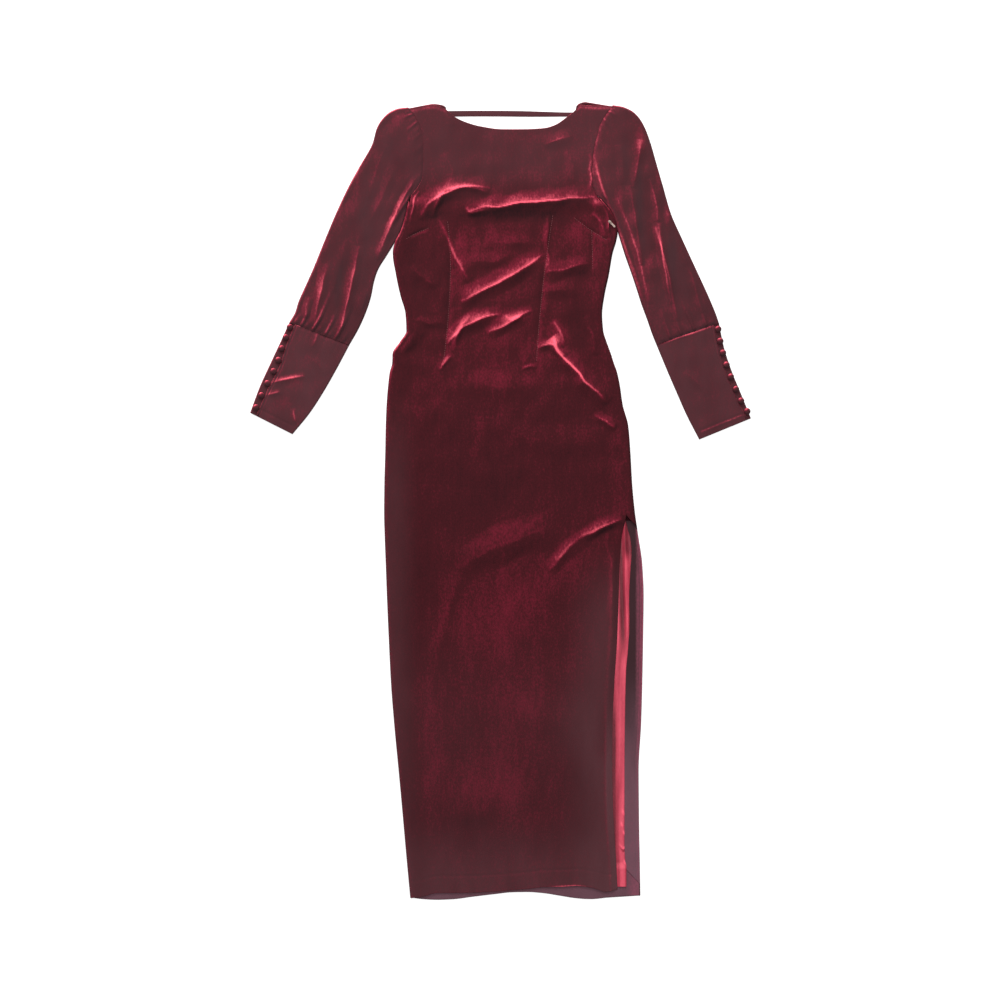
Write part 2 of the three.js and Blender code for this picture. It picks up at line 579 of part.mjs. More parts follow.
// The sleeve's first ring, which follows the armhole point by point
function armholeRing(side, outward, upperSteps) {
  const seam = armholes.map((row) => ({ x: row[`${side}X`], y: row[`${side}Y`] }));
  const plan = (share) => {
    const index = Math.min(Math.floor(share * (seam.length - 1)), seam.length - 2);
    const part = share * (seam.length - 1) - index;
    const apart = lerp(armholeGap.shoulder, armholeGap.underarm, share ** armholeGap.spread);
    const seamX = lerp(seam[index].x, seam[index + 1].x, part);
    return point(seamX + outward * apart, lerp(seam[index].y, seam[index + 1].y, part), 0);
  };
  const ends = {
    outer: point(outward * armholeRingEnds.outerX, armholeRingEnds.outerY, 0),
    inner: point(outward * armholeRingEnds.innerX, armholeRingEnds.innerY, 0),
  };
  return ringPlaces(upperSteps, plan, ends, layerRise / 2).map((place) => {
    const upperZ = floorZ + layerRise + armholeRingEnds.wave * place.wave;
    return point(place.x, place.y, place.upper ? upperZ : place.z);
  });
}

// One ring of the sleeve, from its outer folded edge to its inner one
function sleeveRing(section, outward, upperSteps) {
  const outer = point(section.outerX, section.outerY, 0);
  const along = point(section.innerX, section.innerY, 0).sub(outer);
  const reach = along.length();
  along.divideScalar(reach);
  const towardsBody = point(-along.y, along.x, 0);
  if (towardsBody.x * outward > 0) towardsBody.negate();
  const plan = (share) => {
    const at = outer.clone().addScaledVector(along, lerp(sleeveRoll, reach - sleeveRoll, share));
    return at.addScaledVector(towardsBody, section.bow * 4 * share * (1 - share));
  };
  const ends = {
    outer: along.clone().multiplyScalar(-sleeveRoll),
    inner: along.clone().multiplyScalar(sleeveRoll),
  };
  return ringPlaces(upperSteps, plan, ends, sleeveRoll).map((place) => {
    if (!place.upper) return point(place.x, place.y, place.z);
    const rise = Math.sin(Math.PI * place.share) ** sleeveCrown.fullness;
    const gathers = section.gather * place.wave * Math.min(1, 2 * rise);
    const fade = smooth(Math.min(place.share, 1 - place.share), 0, sleeveCrown.foldFade);
    const folds = fade * foldsAt(sleeveFolds, place.x, place.y);
    return point(place.x, place.y, floorZ + 2 * sleeveRoll + section.crown * rise + gathers + folds);
  });
}

// The places of one ring: over the top from the outer edge to the inner edge, and back below
function ringPlaces(upperSteps, plan, ends, roll) {
  const places = [];
  const add = (at, z, upper, share, wave) => places.push({ x: at.x, y: at.y, z, upper, share, wave });
  for (let i = 0; i <= upperSteps; i += 1) {
    const share = i / upperSteps;
    const wave = i === 0 || i === upperSteps ? 0 : 1 - 2 * (i % 2);
    add(plan(share), 0, true, share, wave);
  }
  add(plan(1).add(ends.inner), floorZ + roll, false, 1, 0);
  const lowerSteps = upperSteps / 3;
  for (let i = lowerSteps; i >= 0; i -= 1) {
    add(plan(i / lowerSteps), floorZ, false, i / lowerSteps, 0);
  }
  add(plan(0).add(ends.outer), floorZ + roll, false, 0, 0);
  return places;
}

// The sizes of a cuff's section at a share of the way from its seam to its open end
function cuffSection(sections, share) {
  const numbered = sections.map((row, index) => ({ ...row, place: index / (sections.length - 1) }));
  const at = (column) => lookUp(numbered, 'place', column, share);
  const outer = point(at('outerX'), at('outerY'), 0);
  const along = point(at('innerX'), at('innerY'), 0).sub(outer);
  const width = along.length();
  return { outer, along: along.divideScalar(width), width, lap: at('lap') };
}

// A cuff is one wall that goes round from the hidden underlap to the buttoned edge over it
function cuffWall(name, sections) {
  const underZ = floorZ + 2 * cuff.outerRoll;
  const overZ = underZ + cuff.topLift;
  const upperZ = floorZ + 2 * cuff.innerRoll;
  const rows = Array.from({ length: cuff.rows }, (_, r) => {
    const { outer, along, width, lap } = cuffSection(sections, r / (cuff.rows - 1));
    const place = (distance, z) => {
      const at = outer.clone().addScaledVector(along, distance);
      return point(at.x, at.y, z);
    };
    return [
      place(lap + cuff.underlap, underZ),
      place(cuff.outerRoll, underZ),
      place(0, floorZ + cuff.outerRoll),
      place(cuff.outerRoll, floorZ),
      ...cuffUnderShares.map((share) => place(width * share, floorZ)),
      place(width - cuff.innerRoll, floorZ),
      place(width, floorZ + cuff.innerRoll),
      place(width - cuff.innerRoll, upperZ),
      ...cuffCrown.map(({ share, rise }) => place(width * share, upperZ + rise)),
      place(lap + cuff.underlap + cuff.lapEase, overZ),
      place(lap + cuff.underlap, overZ),
      place(lap, overZ),
    ];
  });
  return clothWall(name, rows, materials.velvet);
}

// Where each button stands: its place, and the directions away from and along the buttoned edge
function buttonPlaces(sections) {
  const lapPoint = (share) => {
    const { outer, along, lap } = cuffSection(sections, share);
    return outer.addScaledVector(along, lap);
  };
  return Array.from({ length: button.count }, (_, i) => {
    const share = lerp(buttonSpan.first, buttonSpan.last, i / (button.count - 1));
    const lapEdge = lapPoint(share);
    const before = lapPoint(share - buttonSpan.nearby);
    const tangent = lapPoint(share + buttonSpan.nearby).sub(before).normalize();
    const away = point(-tangent.y, tangent.x, 0);
    if (away.dot(cuffSection(sections, share).along) > 0) away.negate();
    return { away, centre: lapEdge.addScaledVector(away, button.fromLap) };
  });
}

// The height at which the buttons and their loops lie on the underlap
const buttonBase = floorZ + 2 * cuff.outerRoll + velvet / 2 + layerGap;

// A covered button: a neck under a shallow dome
function buttonMesh(name, place) {
  const profile = outlineOf([
    [0, 0],
    [button.neck, 0],
    [button.neck, button.rim],
    [button.radius, button.rim + buttonDome.rimRise],
    [buttonDome.shoulderRadius, buttonDome.shoulderHeight],
    [0, button.height],
  ]);
  const mesh = new THREE.Mesh(new THREE.LatheGeometry(profile, button.sides), materials.velvet);
  mesh.name = name;
  mesh.rotation.x = Math.PI / 2;
  mesh.position.set(place.centre.x, place.centre.y, buttonBase);
  return mesh;
}

// A flat plate of an outline in the plane of the floor, as a solid for joining
function plateSolid(outline, low, height) {
  const upright = { depth: height, bevelEnabled: false };
  const geometry = new THREE.ExtrudeGeometry(new THREE.Shape(outline), upright);
  geometry.translate(0, 0, low);
  return solidOf(geometry);
}

function solidOf(geometry) {
  const plain = geometry.index ? geometry.toNonIndexed() : geometry.clone();
  plain.deleteAttribute('normal');
  plain.deleteAttribute('uv');
  const merged = mergeVertices(plain, weldDistance);
  return new solids.Manifold(new solids.Mesh({
    numProp: 3,
    vertProperties: new Float32Array(merged.attributes.position.array),
    triVerts: new Uint32Array(merged.index.array),
  }));
}

function meshOf(solid, name, material) {
  const { vertProperties, triVerts, numProp } = solid.getMesh();
  const points = [];
  for (let i = 0; i < vertProperties.length; i += numProp) {
    points.push(point(vertProperties[i], vertProperties[i + 1], vertProperties[i + 2]));
  }
  return closedMesh(name, points, [...triVerts], material);
}

// The loops of one cuff: a narrow tape along the buttoned edge, with a loop round each button
function buttonLoops(name, sections) {
  const places = buttonPlaces(sections);
  const near = [];
  const far = [];
  for (let i = 0; i <= loopTape.steps; i += 1) {
    const share = lerp(loopTape.endShare, 1 - loopTape.endShare, i / loopTape.steps);
    const { outer, along, lap } = cuffSection(sections, share);
    const edge = outer.addScaledVector(along, lap);
    near.push(edge.clone().addScaledVector(along, -loopTape.inset));
    far.push(edge.clone().addScaledVector(along, -loopTape.inset - loopTape.width));
  }
  const flat = (p) => new THREE.Vector2(p.x, p.y);
  let joined = plateSolid([...near, ...far.reverse()].map(flat), buttonBase, loop.height);
  for (const { centre, away } of places) {
    const aside = point(-away.y, away.x, 0);
    const back = button.fromLap - loopTape.inset - loopTape.width / 2;
    const at = (out, side) => {
      const moved = centre.clone().addScaledVector(away, out);
      return flat(moved.addScaledVector(aside, side));
    };
    const outline = [];
    const arc = (radius, from, to) => {
      for (let i = 0; i <= loop.arcSteps; i += 1) {
        const angle = lerp(from, to, i / loop.arcSteps);
        outline.push(at(radius * Math.cos(angle), radius * Math.sin(angle)));
      }
    };
    outline.push(at(-back, -loop.outer));
    arc(loop.outer, -Math.PI / 2, Math.PI / 2);
    outline.push(at(-back, loop.outer));
    outline.push(at(-back, loop.inner));
    arc(loop.inner, Math.PI / 2, -Math.PI / 2);
    outline.push(at(-back, -loop.inner));
    joined = joined.add(plateSolid(outline, buttonBase, loop.height));
  }
  return meshOf(joined, name, materials.velvet);
}

// The strip of lining that shows in the slit, with the lengthwise fold of its upper part
function liningStrip(stations) {
  const below = stations.filter((station) => station.nominalY <= lining.top);
  const inside = below.filter((station) => station.nominalY > lining.bottom);
  const rows = [...inside, sideStation(lining.bottom)].map((station) => {
    const y = station.nominalY;
    const from = lookUp(body, 'y', 'seam', y) - lining.underFront;
    const to = station.foldX + facingStart(station) - seamGap;
    const fade = smooth(y, liningFold.end, liningFold.end + liningFold.ease);
    return liningShares.map((share) => {
      const x = lerp(from, to, share);
      const crest = Math.max(0, 1 - Math.abs(x - liningFold.x) / liningFold.reach);
      return point(x, y, liningZ + liningFold.height * fade * crest);
    });
  });
  return clothWall('lining', rows, materials.satin, { wall: lightCloth });
}

// The y of the mitre where the two facings meet, at x
function mitreY(x) {
  const share = clamp((x - mitre.innerX) / (mitre.outerX - mitre.innerX), 0, 1);
  return lerp(mitre.innerY, mitre.outerY, share);
}

// The velvet turned in along the back's open slit edge
function slitFacing(stations) {
  const lift = liningZ - floorZ;
  const below = stations.filter((station) => station.nominalY <= slitFlat);
  const inside = below.filter((station) => station.nominalY > mitre.innerY);
  const rowOf = (station, yAt) => {
    const inset = { ...station, backStop: station.backStop - hemFacing.edgeInset };
    return [facingStart(inset), ...leftMarks(inset)].map((along) => {
      const place = overLeft(station, along, lift);
      return point(place.x, yAt(place.x), place.z);
    });
  };
  const rows = inside.map((station) => rowOf(station, () => station.nominalY));
  rows.push(rowOf(sideStation(mitre.innerY), (x) => mitreY(x) + seamGap));
  return clothWall('slit_facing', rows, materials.facing, { wall: lightCloth });
}

// The velvet turned up along the back's hem, mitred against the slit facing
function hemFacingStrip() {
  const rows = hemFacingRows.map(({ height, endX }) => {
    const shares = Array.from({ length: hemFacing.steps + 1 }, (_, i) => i / hemFacing.steps);
    return shares.map((share) => {
      const x = lerp(hemFacing.startX, endX, share);
      const y = lookUp(hems, 'x', 'back', x) + hemFacing.edgeInset + height;
      return point(x, Math.min(y, mitreY(x) - seamGap), liningZ);
    });
  });
  return clothWall('hem_facing', rows, materials.facing, { wall: lightCloth });
}

// The slider: a small plate with an arch over it that holds the pull tab's bar
function zipSlider() {
  const half = slider.length / 2;
  const wide = slider.width / 2;
  const end = slider.endWidth / 2;
  const sideEnd = slider.sideLength / 2;
  const plate = outlineOf([
    [-half, -end], [-sideEnd, -wide], [sideEnd, -wide], [half, -end],
    [half, end], [sideEnd, wide], [-sideEnd, wide], [-half, end],
  ]);
  const outer = arch.length / 2;
  const inner = outer - arch.leg;
  const top = arch.room + arch.bar;
  const side = outlineOf([
    [-outer, -arch.sunk], [-inner, -arch.sunk], [-inner, arch.room], [inner, arch.room],
    [inner, -arch.sunk], [outer, -arch.sunk], [outer, top], [-outer, top],
  ]);
  const archSolid = plateSolid(side, -arch.width / 2, arch.width)
    .rotate([90, 0, 0])
    .translate([0, 0, slider.plate]);
  const joined = plateSolid(plate, 0, slider.plate).add(archSolid);
  const mesh = meshOf(joined, 'zip_slider', materials.metal);
  placeZip(mesh, zip.baseZ);
  return mesh;
}

// The pull tab: a flat tab with an eye at one end, whose bar lies under the slider's arch
function zipPull() {
  const half = pull.width / 2;
  const tip = pull.tipWidth / 2;
  const start = -pull.bar / 2;
  const end = start + pull.length;
  const taperAt = end - pull.taper;
  const shape = new THREE.Shape(outlineOf([
    [start, -half], [taperAt, -half], [end, -tip], [end, tip], [taperAt, half], [start, half],
  ]));
  const eyeSide = eye.width / 2;
  const eyeStart = pull.bar / 2;
  const eyeEnd = eyeStart + eye.length;
  shape.holes.push(new THREE.Path(outlineOf([
    [eyeStart, -eyeSide], [eyeStart, eyeSide], [eyeEnd, eyeSide], [eyeEnd, -eyeSide],
  ])));
  const upright = { depth: pull.thickness, bevelEnabled: false };
  const geometry = new THREE.ExtrudeGeometry(shape, upright);
  geometry.translate(0, 0, -pull.thickness / 2);
  const mesh = new THREE.Mesh(geometry, materials.metal);
  mesh.name = 'zip_pull';
  placeZip(mesh, zip.baseZ + slider.plate + eye.clearance + pull.thickness / 2);
  return mesh;
}

// Turns a zip part to the direction of the side seam, and stands it at a height
function placeZip(mesh, z) {
  mesh.position.set(zip.x, zip.y, z);
  mesh.rotation.z = THREE.MathUtils.degToRad(zip.turnDegrees);
}

const dress = new THREE.Group();
const stations = bodyStations();
dress.add(clothWall('front', frontRows(stations), materials.velvet));
dress.add(clothWall('back', backRows(stations), materials.velvet));
dress.add(neckStrap());
dress.add(sleeve('sleeve_right', 'right', sleeveRight));
dress.add(sleeve('sleeve_left', 'left', sleeveLeft));
dress.add(cuffWall('cuff_right', cuffRight));
dress.add(cuffWall('cuff_left', cuffLeft));
dress.add(liningStrip(stations));
dress.add(slitFacing(stations));
dress.add(hemFacingStrip());
for (const [side, sections] of [['right', cuffRight], ['left', cuffLeft]]) {
  buttonPlaces(sections).forEach((place, index) => {
    dress.add(buttonMesh(`button_${side}_${index + 1}`, place));
  });
  dress.add(buttonLoops(`button_loops_${side}`, sections));
}
dress.add(zipSlider());
dress.add(zipPull());

export default dress;
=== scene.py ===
"""A long-sleeved velvet maxi evening dress laid flat on its back, face up, seen from straight above.

Lengths in the tables are millimetres in the part's own frame: +X is the wearer's left side, +Y runs
from the hem to the neck, +Z is up. Each piece of cloth is a fine grid of points on its solid's form.
"""
import math

import bpy
import numpy as np
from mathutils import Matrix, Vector
from mathutils.bvhtree import BVHTree

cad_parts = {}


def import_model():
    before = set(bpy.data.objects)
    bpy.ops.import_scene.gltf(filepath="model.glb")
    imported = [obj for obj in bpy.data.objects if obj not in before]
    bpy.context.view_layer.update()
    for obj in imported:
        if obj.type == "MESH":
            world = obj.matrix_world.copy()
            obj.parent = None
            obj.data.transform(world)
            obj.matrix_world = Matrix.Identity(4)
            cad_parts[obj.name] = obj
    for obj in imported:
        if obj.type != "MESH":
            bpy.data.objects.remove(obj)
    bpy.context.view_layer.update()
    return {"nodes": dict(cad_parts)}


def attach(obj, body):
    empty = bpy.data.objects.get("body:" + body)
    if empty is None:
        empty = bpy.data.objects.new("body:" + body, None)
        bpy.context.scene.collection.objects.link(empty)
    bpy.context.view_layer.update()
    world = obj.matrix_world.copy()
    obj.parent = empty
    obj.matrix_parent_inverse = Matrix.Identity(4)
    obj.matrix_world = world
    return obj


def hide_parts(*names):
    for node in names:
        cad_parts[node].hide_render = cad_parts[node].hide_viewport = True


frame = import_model()

MM = 0.001
VELVET = 1.8
LIGHT_CLOTH = 1.2
SEAM_GAP = 0.5
LAYER_GAP = 0.3
LINING_ROOM = 1.9
SIDE_ROLL = 3.1
ROLL_EASE = 40
SLIT_TOP = -22
SLIT_FLAT = -58
HEM_BLEND = -560
HEM_Y = -714
SCOOP_END = 300
YOKE_END = 549
SIDE_START = 530

FLOOR_Z = VELVET / 2
LAYER_RISE = VELVET + LINING_ROOM
LINING_Z = VELVET + LAYER_GAP + LIGHT_CLOTH / 2
EDGE_RADIUS = 0.7
# Widths of the painted highlight along fold crests: its bright core and its soft glow
HIGHLIGHT_CORE_WIDTH = 1.9
HIGHLIGHT_GLOW_WIDTH = 6.0
FOLD_WANDER = 1.9
SMALL_WANDER = 0.5
TURN_IN = 2.5


class Table(dict):
    """Named columns of numbers, or named sizes, that can be read as attributes."""

    __getattr__ = dict.__getitem__


def table(names, *rows):
    """Rows of numbers as one array for each named column."""
    return Table(zip(names.split(), np.array(rows, float).T))


ARMHOLES = table(
    "place right_x right_y left_x left_y",
    (0, -164.5, 705, 200.5, 709), (1, -156.5, 695, 193, 700), (2, -148.5, 682, 185, 688),
    (3, -142.5, 667, 177.5, 673), (4, -139, 650, 173, 655), (5, -138, 627, 167.5, 634),
    (6, -138.5, 603, 164.5, 610), (7, -140.5, 580, 164, 584), (8, -149, 563, 166, 566),
    (9, -160, 549, 173, 549),
)
BODY = table(
    "y right left seam tuck",
    (549, -162, 176, 171, 4.9), (530, -167, 190, 185, 4.9), (517, -169.5, 200, 192, 5),
    (500, -174, 207, 195, 5.5), (483, -180, 210, 194.5, 7.5), (465, -189, 207, 193, 9.8),
    (445, -193, 201, 189, 8.5), (405, -187, 194, 185, 6), (370, -179.5, 186.5, 180.5, 2),
    (335, -170, 182, 176.5, -4), (305, -168.5, 184, 177, -10), (285, -180, 190, 179.5, -13),
    (263, -193.5, 198, 182, -17), (247, -194, 203, 184, -19), (230, -198.5, 209, 186, -21),
    (206, -201.5, 214, 188.5, -24), (172, -204, 219, 197.5, -26), (134, -205.5, 229, 208, -27),
    (84, -206.5, 233, 211, -28), (30, -208, 236, 215.5, -28), (-22, -208.5, 241, 226, -28),
    (-62, -207.5, 247, 217.5, -28), (-115, -205.5, 254.5, 213.5, -28),
    (-170, -203.5, 257, 212, -28), (-250, -200, 256, 209, -28), (-330, -196, 254.5, 204, -28),
    (-400, -190.5, 252.5, 201, -28), (-484, -182.5, 248, 200.5, -27),
    (-560, -175.5, 248.5, 202, -27), (-600, -172, 249, 204, -26), (-650, -167.5, 250, 207, -26),
    (-714, -161.5, 251, 210, -26),
)
FRONT_TOP = table(
    "x y",
    (-164.5, 705), (-121, 711.5), (-108, 708), (-93, 699), (-81, 688.5), (-60, 679), (-37, 672.5),
    (4, 667), (40, 667), (78, 669), (96, 674), (122, 691), (133, 700), (144, 711), (170, 709.5),
    (200.5, 709),
)
BACK_TOP = table(
    "x y",
    (-164.5, 705), (-121, 713), (-99, 709), (-91.5, 640), (-55, 545), (18, 500), (91, 545),
    (129.5, 640), (137, 711), (153, 716.6), (170, 713.5), (200.5, 709),
)
HEMS = table(
    "x front back",
    (-161.5, -714, -714), (-143, -712, -716.5), (-115, -705.5, -718), (-86, -705, -717),
    (-50, -704.5, -712.5), (-8, -702.5, -707.5), (20, -700, -704.5), (49, -698, -704),
    (77, -694.5, -706), (106, -694, -710.5), (135, -692.5, -715), (163, -695.5, -717),
    (190, -703, -714.5), (205, -700, -713), (221, -699, -711.5), (251, -699, -710.5),
)
FACING_EDGE = table(
    "y x",
    (-36, 223.8), (-53, 229.5), (-71, 234.4), (-94, 236.2), (-120, 234.4), (-170, 231.8),
    (-262, 230), (-307, 226.3), (-381, 224.5), (-467, 223.6), (-620, 223.4), (-663, 225.5),
    (-714, 225.5),
)

# Folds and creases: a crest from one end through a middle point to the other end, its height, the
# widths of its slopes above and below, and how sharp its crest is, which also sets the strength of the
# painted highlight along it. A negative height is a groove.
FOLD_COLUMNS = "x1 y1 x2 y2 x3 y3 height above below sharp"
FRONT_FOLDS = table(
    FOLD_COLUMNS,
    (-145, 511, -104, 572, -18, 564, 3.4, 26, 22, 0.5),
    (-62, 520, 40, 538, 174, 546, 4.6, 24, 32, 0.7),
    (-63, 528, -50, 508, -20, 523, 1.6, 8, 10, 0.6),
    (-76, 360, 5, 388, 78, 445, 3.2, 24, 22, 0.6),
    (83, 410, 120, 418, 160, 426, 2, 20, 20, 0.4),
    (-99, 279, -52, 332, 2, 334, 3.2, 22, 20, 0.5),
    (-25, 300, 20, 324, 60, 342, 2.4, 18, 18, 0.6),
    (90, 292, 116, 246, 194, 172, 3.8, 24, 22, 0.6),
    (66, 277, 96, 288, 118, 258, 2, 14, 14, 0.6),
    (92, 323, 108, 308, 114, 276, 1.6, 12, 12, 0.5),
    (-113, 507, -84, 445, -58, 393, 2.5, 20, 20, 0.4),
    (76, 640, 102, 650, 128, 655, 2, 20, 20, 0.4),
    (219, -34, 172, -46, 140, -72, 2.6, 16, 14, 0.5),
    (146, -66, 116, -98, 84, -126, 2, 20, 18, 0.4),
    (-76, -121, 0, -70, 100, -49, 3, 40, 40, 0.1),
    (162, 514, 184, 510, 188, 472, 1.4, 9, 9, 0.5),
    (176, 548, 184, 536, 199, 524, 1.5, 8, 8, 0.8),
    (188, 524, 199, 502, 199, 466, 1.1, 6, 6, 0.6),
    (168, 155, 192, 138, 210, 134, 1.8, 12, 12, 0.5),
    (-60, 610, -20, 598, 30, 612, 0.9, 26, 26, 0.1),
    (-100, 625, -84, 590, -88, 556, 0.9, 14, 14, 0.2),
    (120, 628, 132, 600, 130, 568, 0.9, 14, 14, 0.2),
    (-30, 470, 20, 455, 60, 470, 1.2, 24, 20, 0.2),
    (-60, 430, -20, 424, 24, 446, 1.2, 20, 20, 0.2),
    (60, 380, 100, 372, 140, 384, 1, 20, 20, 0.2),
    (-160, 420, -140, 396, -110, 388, 1, 16, 16, 0.3),
    (-150, 330, -130, 318, -104, 322, 1, 14, 14, 0.3),
    (-60, 220, -10, 196, 70, 206, 1.2, 34, 34, 0.1),
    (20, 120, 90, 96, 190, 108, 1.2, 36, 36, 0.1),
    (150, 330, 166, 300, 172, 262, 1.2, 14, 14, 0.3),
    (-180, 262, -168, 282, -150, 292, 0.8, 12, 12, 0.1),
    (-120, -250, -40, -290, 60, -262, 0.9, 60, 60, 0),
    (0, -420, 80, -380, 160, -400, 0.9, 60, 60, 0),
    (-130, -520, -70, -560, 0, -548, 0.8, 50, 50, 0),
    (193, -60, 204, -180, 202, -300, 1.2, 12, 10, 0.4),
    (40, -600, 110, -580, 180, -604, 0.7, 44, 44, 0),
    (162, 626, 160, 586, 163, 552, 1.2, 6, 6, 0.7),
    (85, 515, 82, 466, 86, 418, 1.5, 8, 9, 0.5),
    (-122, 508, -112, 540, -100, 556, 1.4, 9, 9, 0.6),
    (-104, 557, -60, 566, -20, 556, 1.2, 10, 10, 0.7),
    (-84, 268, -80, 300, -52, 330, 1.3, 9, 9, 0.5),
    (-109, 232, -104, 250, -88, 262, 1.2, 7, 7, 0.6),
    (8, 332, 20, 318, 34, 330, 1.1, 8, 8, 0.6),
    (40, 236, 52, 242, 64, 238, 0.9, 6, 6, 0.6),
    (-150, 556, -158, 530, -162, 500, 1.2, 6, 6, 0.7),
    (-123, -353, -110, -190, -51, -96, 0.7, 22, 22, 0.3),
)
FRONT_DARTS = table(
    FOLD_COLUMNS,
    (-95, 500, -82, 404, -103, 246, -1.2, 13, 13, 0.9),
    (94, 511, 72, 380, 65, 252, -1.2, 13, 13, 0.9),
    (-168, 471, -150, 482, -128, 490, -0.9, 7, 7, 0.9),
    (134, 507, 160, 486, 193, 467, -0.9, 7, 7, 0.9),
    (164, 485, 165, 450, 166, 415, -1, 6, 6, 0.9),
)

SLEEVE_COLUMNS = "outer_x outer_y inner_x inner_y bow gather crown"
SLEEVE_RIGHT = table(
    SLEEVE_COLUMNS,
    (-188, 703, -166.6, 536, 19, 1.2, 1.1), (-206, 692, -171, 518, 14, 1.4, 1.3),
    (-221, 671, -175, 502, 10, 1.1, 1.3), (-231, 638, -180.6, 485, 7, 0.6, 1.3),
    (-254, 598, -190, 466, 4, 0.3, 1.2), (-274.5, 560, -204.5, 442, 2, 0.2, 1.1),
    (-295.5, 515, -220, 417, 0, 0.2, 1), (-316, 466, -228, 394, 0, 0.3, 1),
    (-338, 412, -234, 365, 0, 0.5, 1), (-361, 361, -243, 338, 0, 1, 1.1),
    (-368.5, 338, -256, 309, 1, 1.4, 1.1), (-379, 320, -272.5, 280, 0, 0.5, 0.6),
)
SLEEVE_LEFT = table(
    SLEEVE_COLUMNS,
    (222, 706.5, 186.2, 537, 20, 1.2, 1.1), (241, 696, 200.4, 519, 16, 1.4, 1.3),
    (256, 676, 207.6, 502, 12, 1.1, 1.3), (268, 646, 211, 486, 8, 0.6, 1.3),
    (279, 608, 218, 462, 4, 0.3, 1.2), (292, 563, 226, 437, 2, 0.2, 1.1),
    (306, 515, 236, 409, 0, 0.2, 1), (325, 472, 245, 382, 0, 0.3, 1),
    (347, 424, 254, 354, 0, 0.5, 1), (371, 372, 264, 327, 0, 1, 1.1),
    (385, 339, 273, 301, 1, 1.4, 1.1), (392, 319, 281, 281, 0, 0.5, 0.6),
)
SLEEVE_ROLL = 2.3
SLEEVE_STEPS = 22
SLEEVE_FOLDS = table(
    FOLD_COLUMNS,
    (-254, 458, -270, 375, -291, 293, 2.8, 15, 15, 0.6),
    (-312, 425, -325, 370, -337, 313, 2.2, 14, 14, 0.5),
    (-151, 580, -186, 530, -221, 432, 2.6, 9, 12, 0.42),
    (-152, 560, -174, 534, -198, 488, 1.6, 6, 6, 0.4),
    (253, 648, 246, 594, 238, 562, 2.2, 14, 14, 0.5),
    (268, 578, 282, 532, 283, 500, 2.2, 14, 14, 0.5),
    (278, 492, 302, 413, 318, 322, 2.6, 15, 15, 0.6),
    (232, 566, 246, 491, 254, 424, 2.2, 13, 13, 0.5),
    (168, 622, 180, 556, 208, 501, 2.2, 9, 11, 0.7),
    (208, 501, 228, 440, 256, 359, 2.6, 9, 11, 0.5),
    (209, 543, 250, 454, 268, 353, 2, 11, 11, 0.6),
    (284, 500, 290, 430, 307, 352, 2.2, 12, 12, 0.6),
    (-344, 366, -350, 340, -351, 328, 1.4, 9, 9, 0.5),
    (-276, 470, -292, 420, -300, 372, 1.2, 14, 14, 0.3),
    (-205, 640, -226, 590, -238, 540, 1.3, 16, 16, 0.3),
    (-190, 600, -214, 540, -240, 490, 1.2, 14, 14, 0.3),
    (300, 520, 322, 460, 344, 400, 1.2, 14, 14, 0.3),
    (338, 420, 350, 380, 362, 336, 1.6, 12, 12, 0.4),
    (214, 640, 222, 600, 220, 568, 1.2, 13, 13, 0.3),
)
# Gathers: where on the seam, from the outer to the inner edge, half width, height and reach
HEAD_GATHERS = table(
    "share width height reach",
    (0.05, 0.022, 0.5, 0.8), (0.11, 0.014, 0.9, 1.1), (0.17, 0.024, 0.4, 0.7),
    (0.23, 0.014, 0.9, 1.4), (0.31, 0.022, 0.5, 0.8), (0.37, 0.018, 0.6, 1),
    (0.50, 0.028, 0.6, 1.2), (0.62, 0.028, 0.4, 1), (0.76, 0.028, 0.5, 1.4),
)
CUFF_GATHERS = table(
    "share width height reach",
    (0.07, 0.030, 1, 1.2), (0.18, 0.021, 1.9, 2.6), (0.26, 0.030, 0.9, 0.9),
    (0.38, 0.022, 2.2, 3.4), (0.47, 0.036, 1, 1.2), (0.60, 0.021, 1.8, 2.2),
    (0.67, 0.030, 0.8, 0.8), (0.78, 0.022, 1.8, 2.8), (0.90, 0.030, 0.9, 1.1),
)

CUFF_COLUMNS = "place outer_x outer_y inner_x inner_y lap"
CUFF_RIGHT = table(
    CUFF_COLUMNS,
    (0, -379.3, 319.5, -272.8, 279.5, 11), (0.25, -395, 285, -296, 236, 13),
    (0.5, -413, 246.5, -320, 194, 18), (0.75, -433, 202.5, -345, 156, 16),
    (1, -449.5, 158, -374.5, 120, 13),
)
CUFF_LEFT = table(
    CUFF_COLUMNS,
    (0, 392.3, 318.5, 281.3, 280.5, 10), (0.25, 401, 276, 298.5, 239, 11),
    (0.5, 415, 233, 316.5, 197, 12), (0.75, 433, 189, 336, 153, 12),
    (1, 449.5, 148, 358, 110.5, 6),
)
CUFF_FOLDS = table(
    FOLD_COLUMNS,
    (-412, 211, -380, 221, -349, 224, 1.6, 9, 12, 0.7),
    (-422, 190, -405, 192, -394, 196, 1.2, 8, 8, 0.6),
    (-327, 302, -332, 290, -336, 276, 1, 7, 7, 0.5),
    (-371, 165, -374, 150, -363, 134, 1.3, 7, 7, 0.6),
    (-350, 262, -330, 250, -312, 226, 0.9, 14, 14, 0.2),
    (330, 232, 356, 214, 372, 190, 1, 14, 14, 0.2),
    (390, 315, 336, 298, 284, 279, 0.8, 4, 4, 0.8),
    (-376, 317, -325, 304, -275, 281, 0.8, 4, 4, 0.8),
    (358, 121, 400, 139, 444, 157, 0.6, 4, 4, 0.4),
)
CUFF_OUTER_ROLL = 1.2
CUFF_INNER_ROLL = 1.6
CUFF_UNDERLAP = 12
CUFF_LIFT = 2.1
CUFF_TOP_STEPS = 80
CUFF_LAP_STEPS = 14
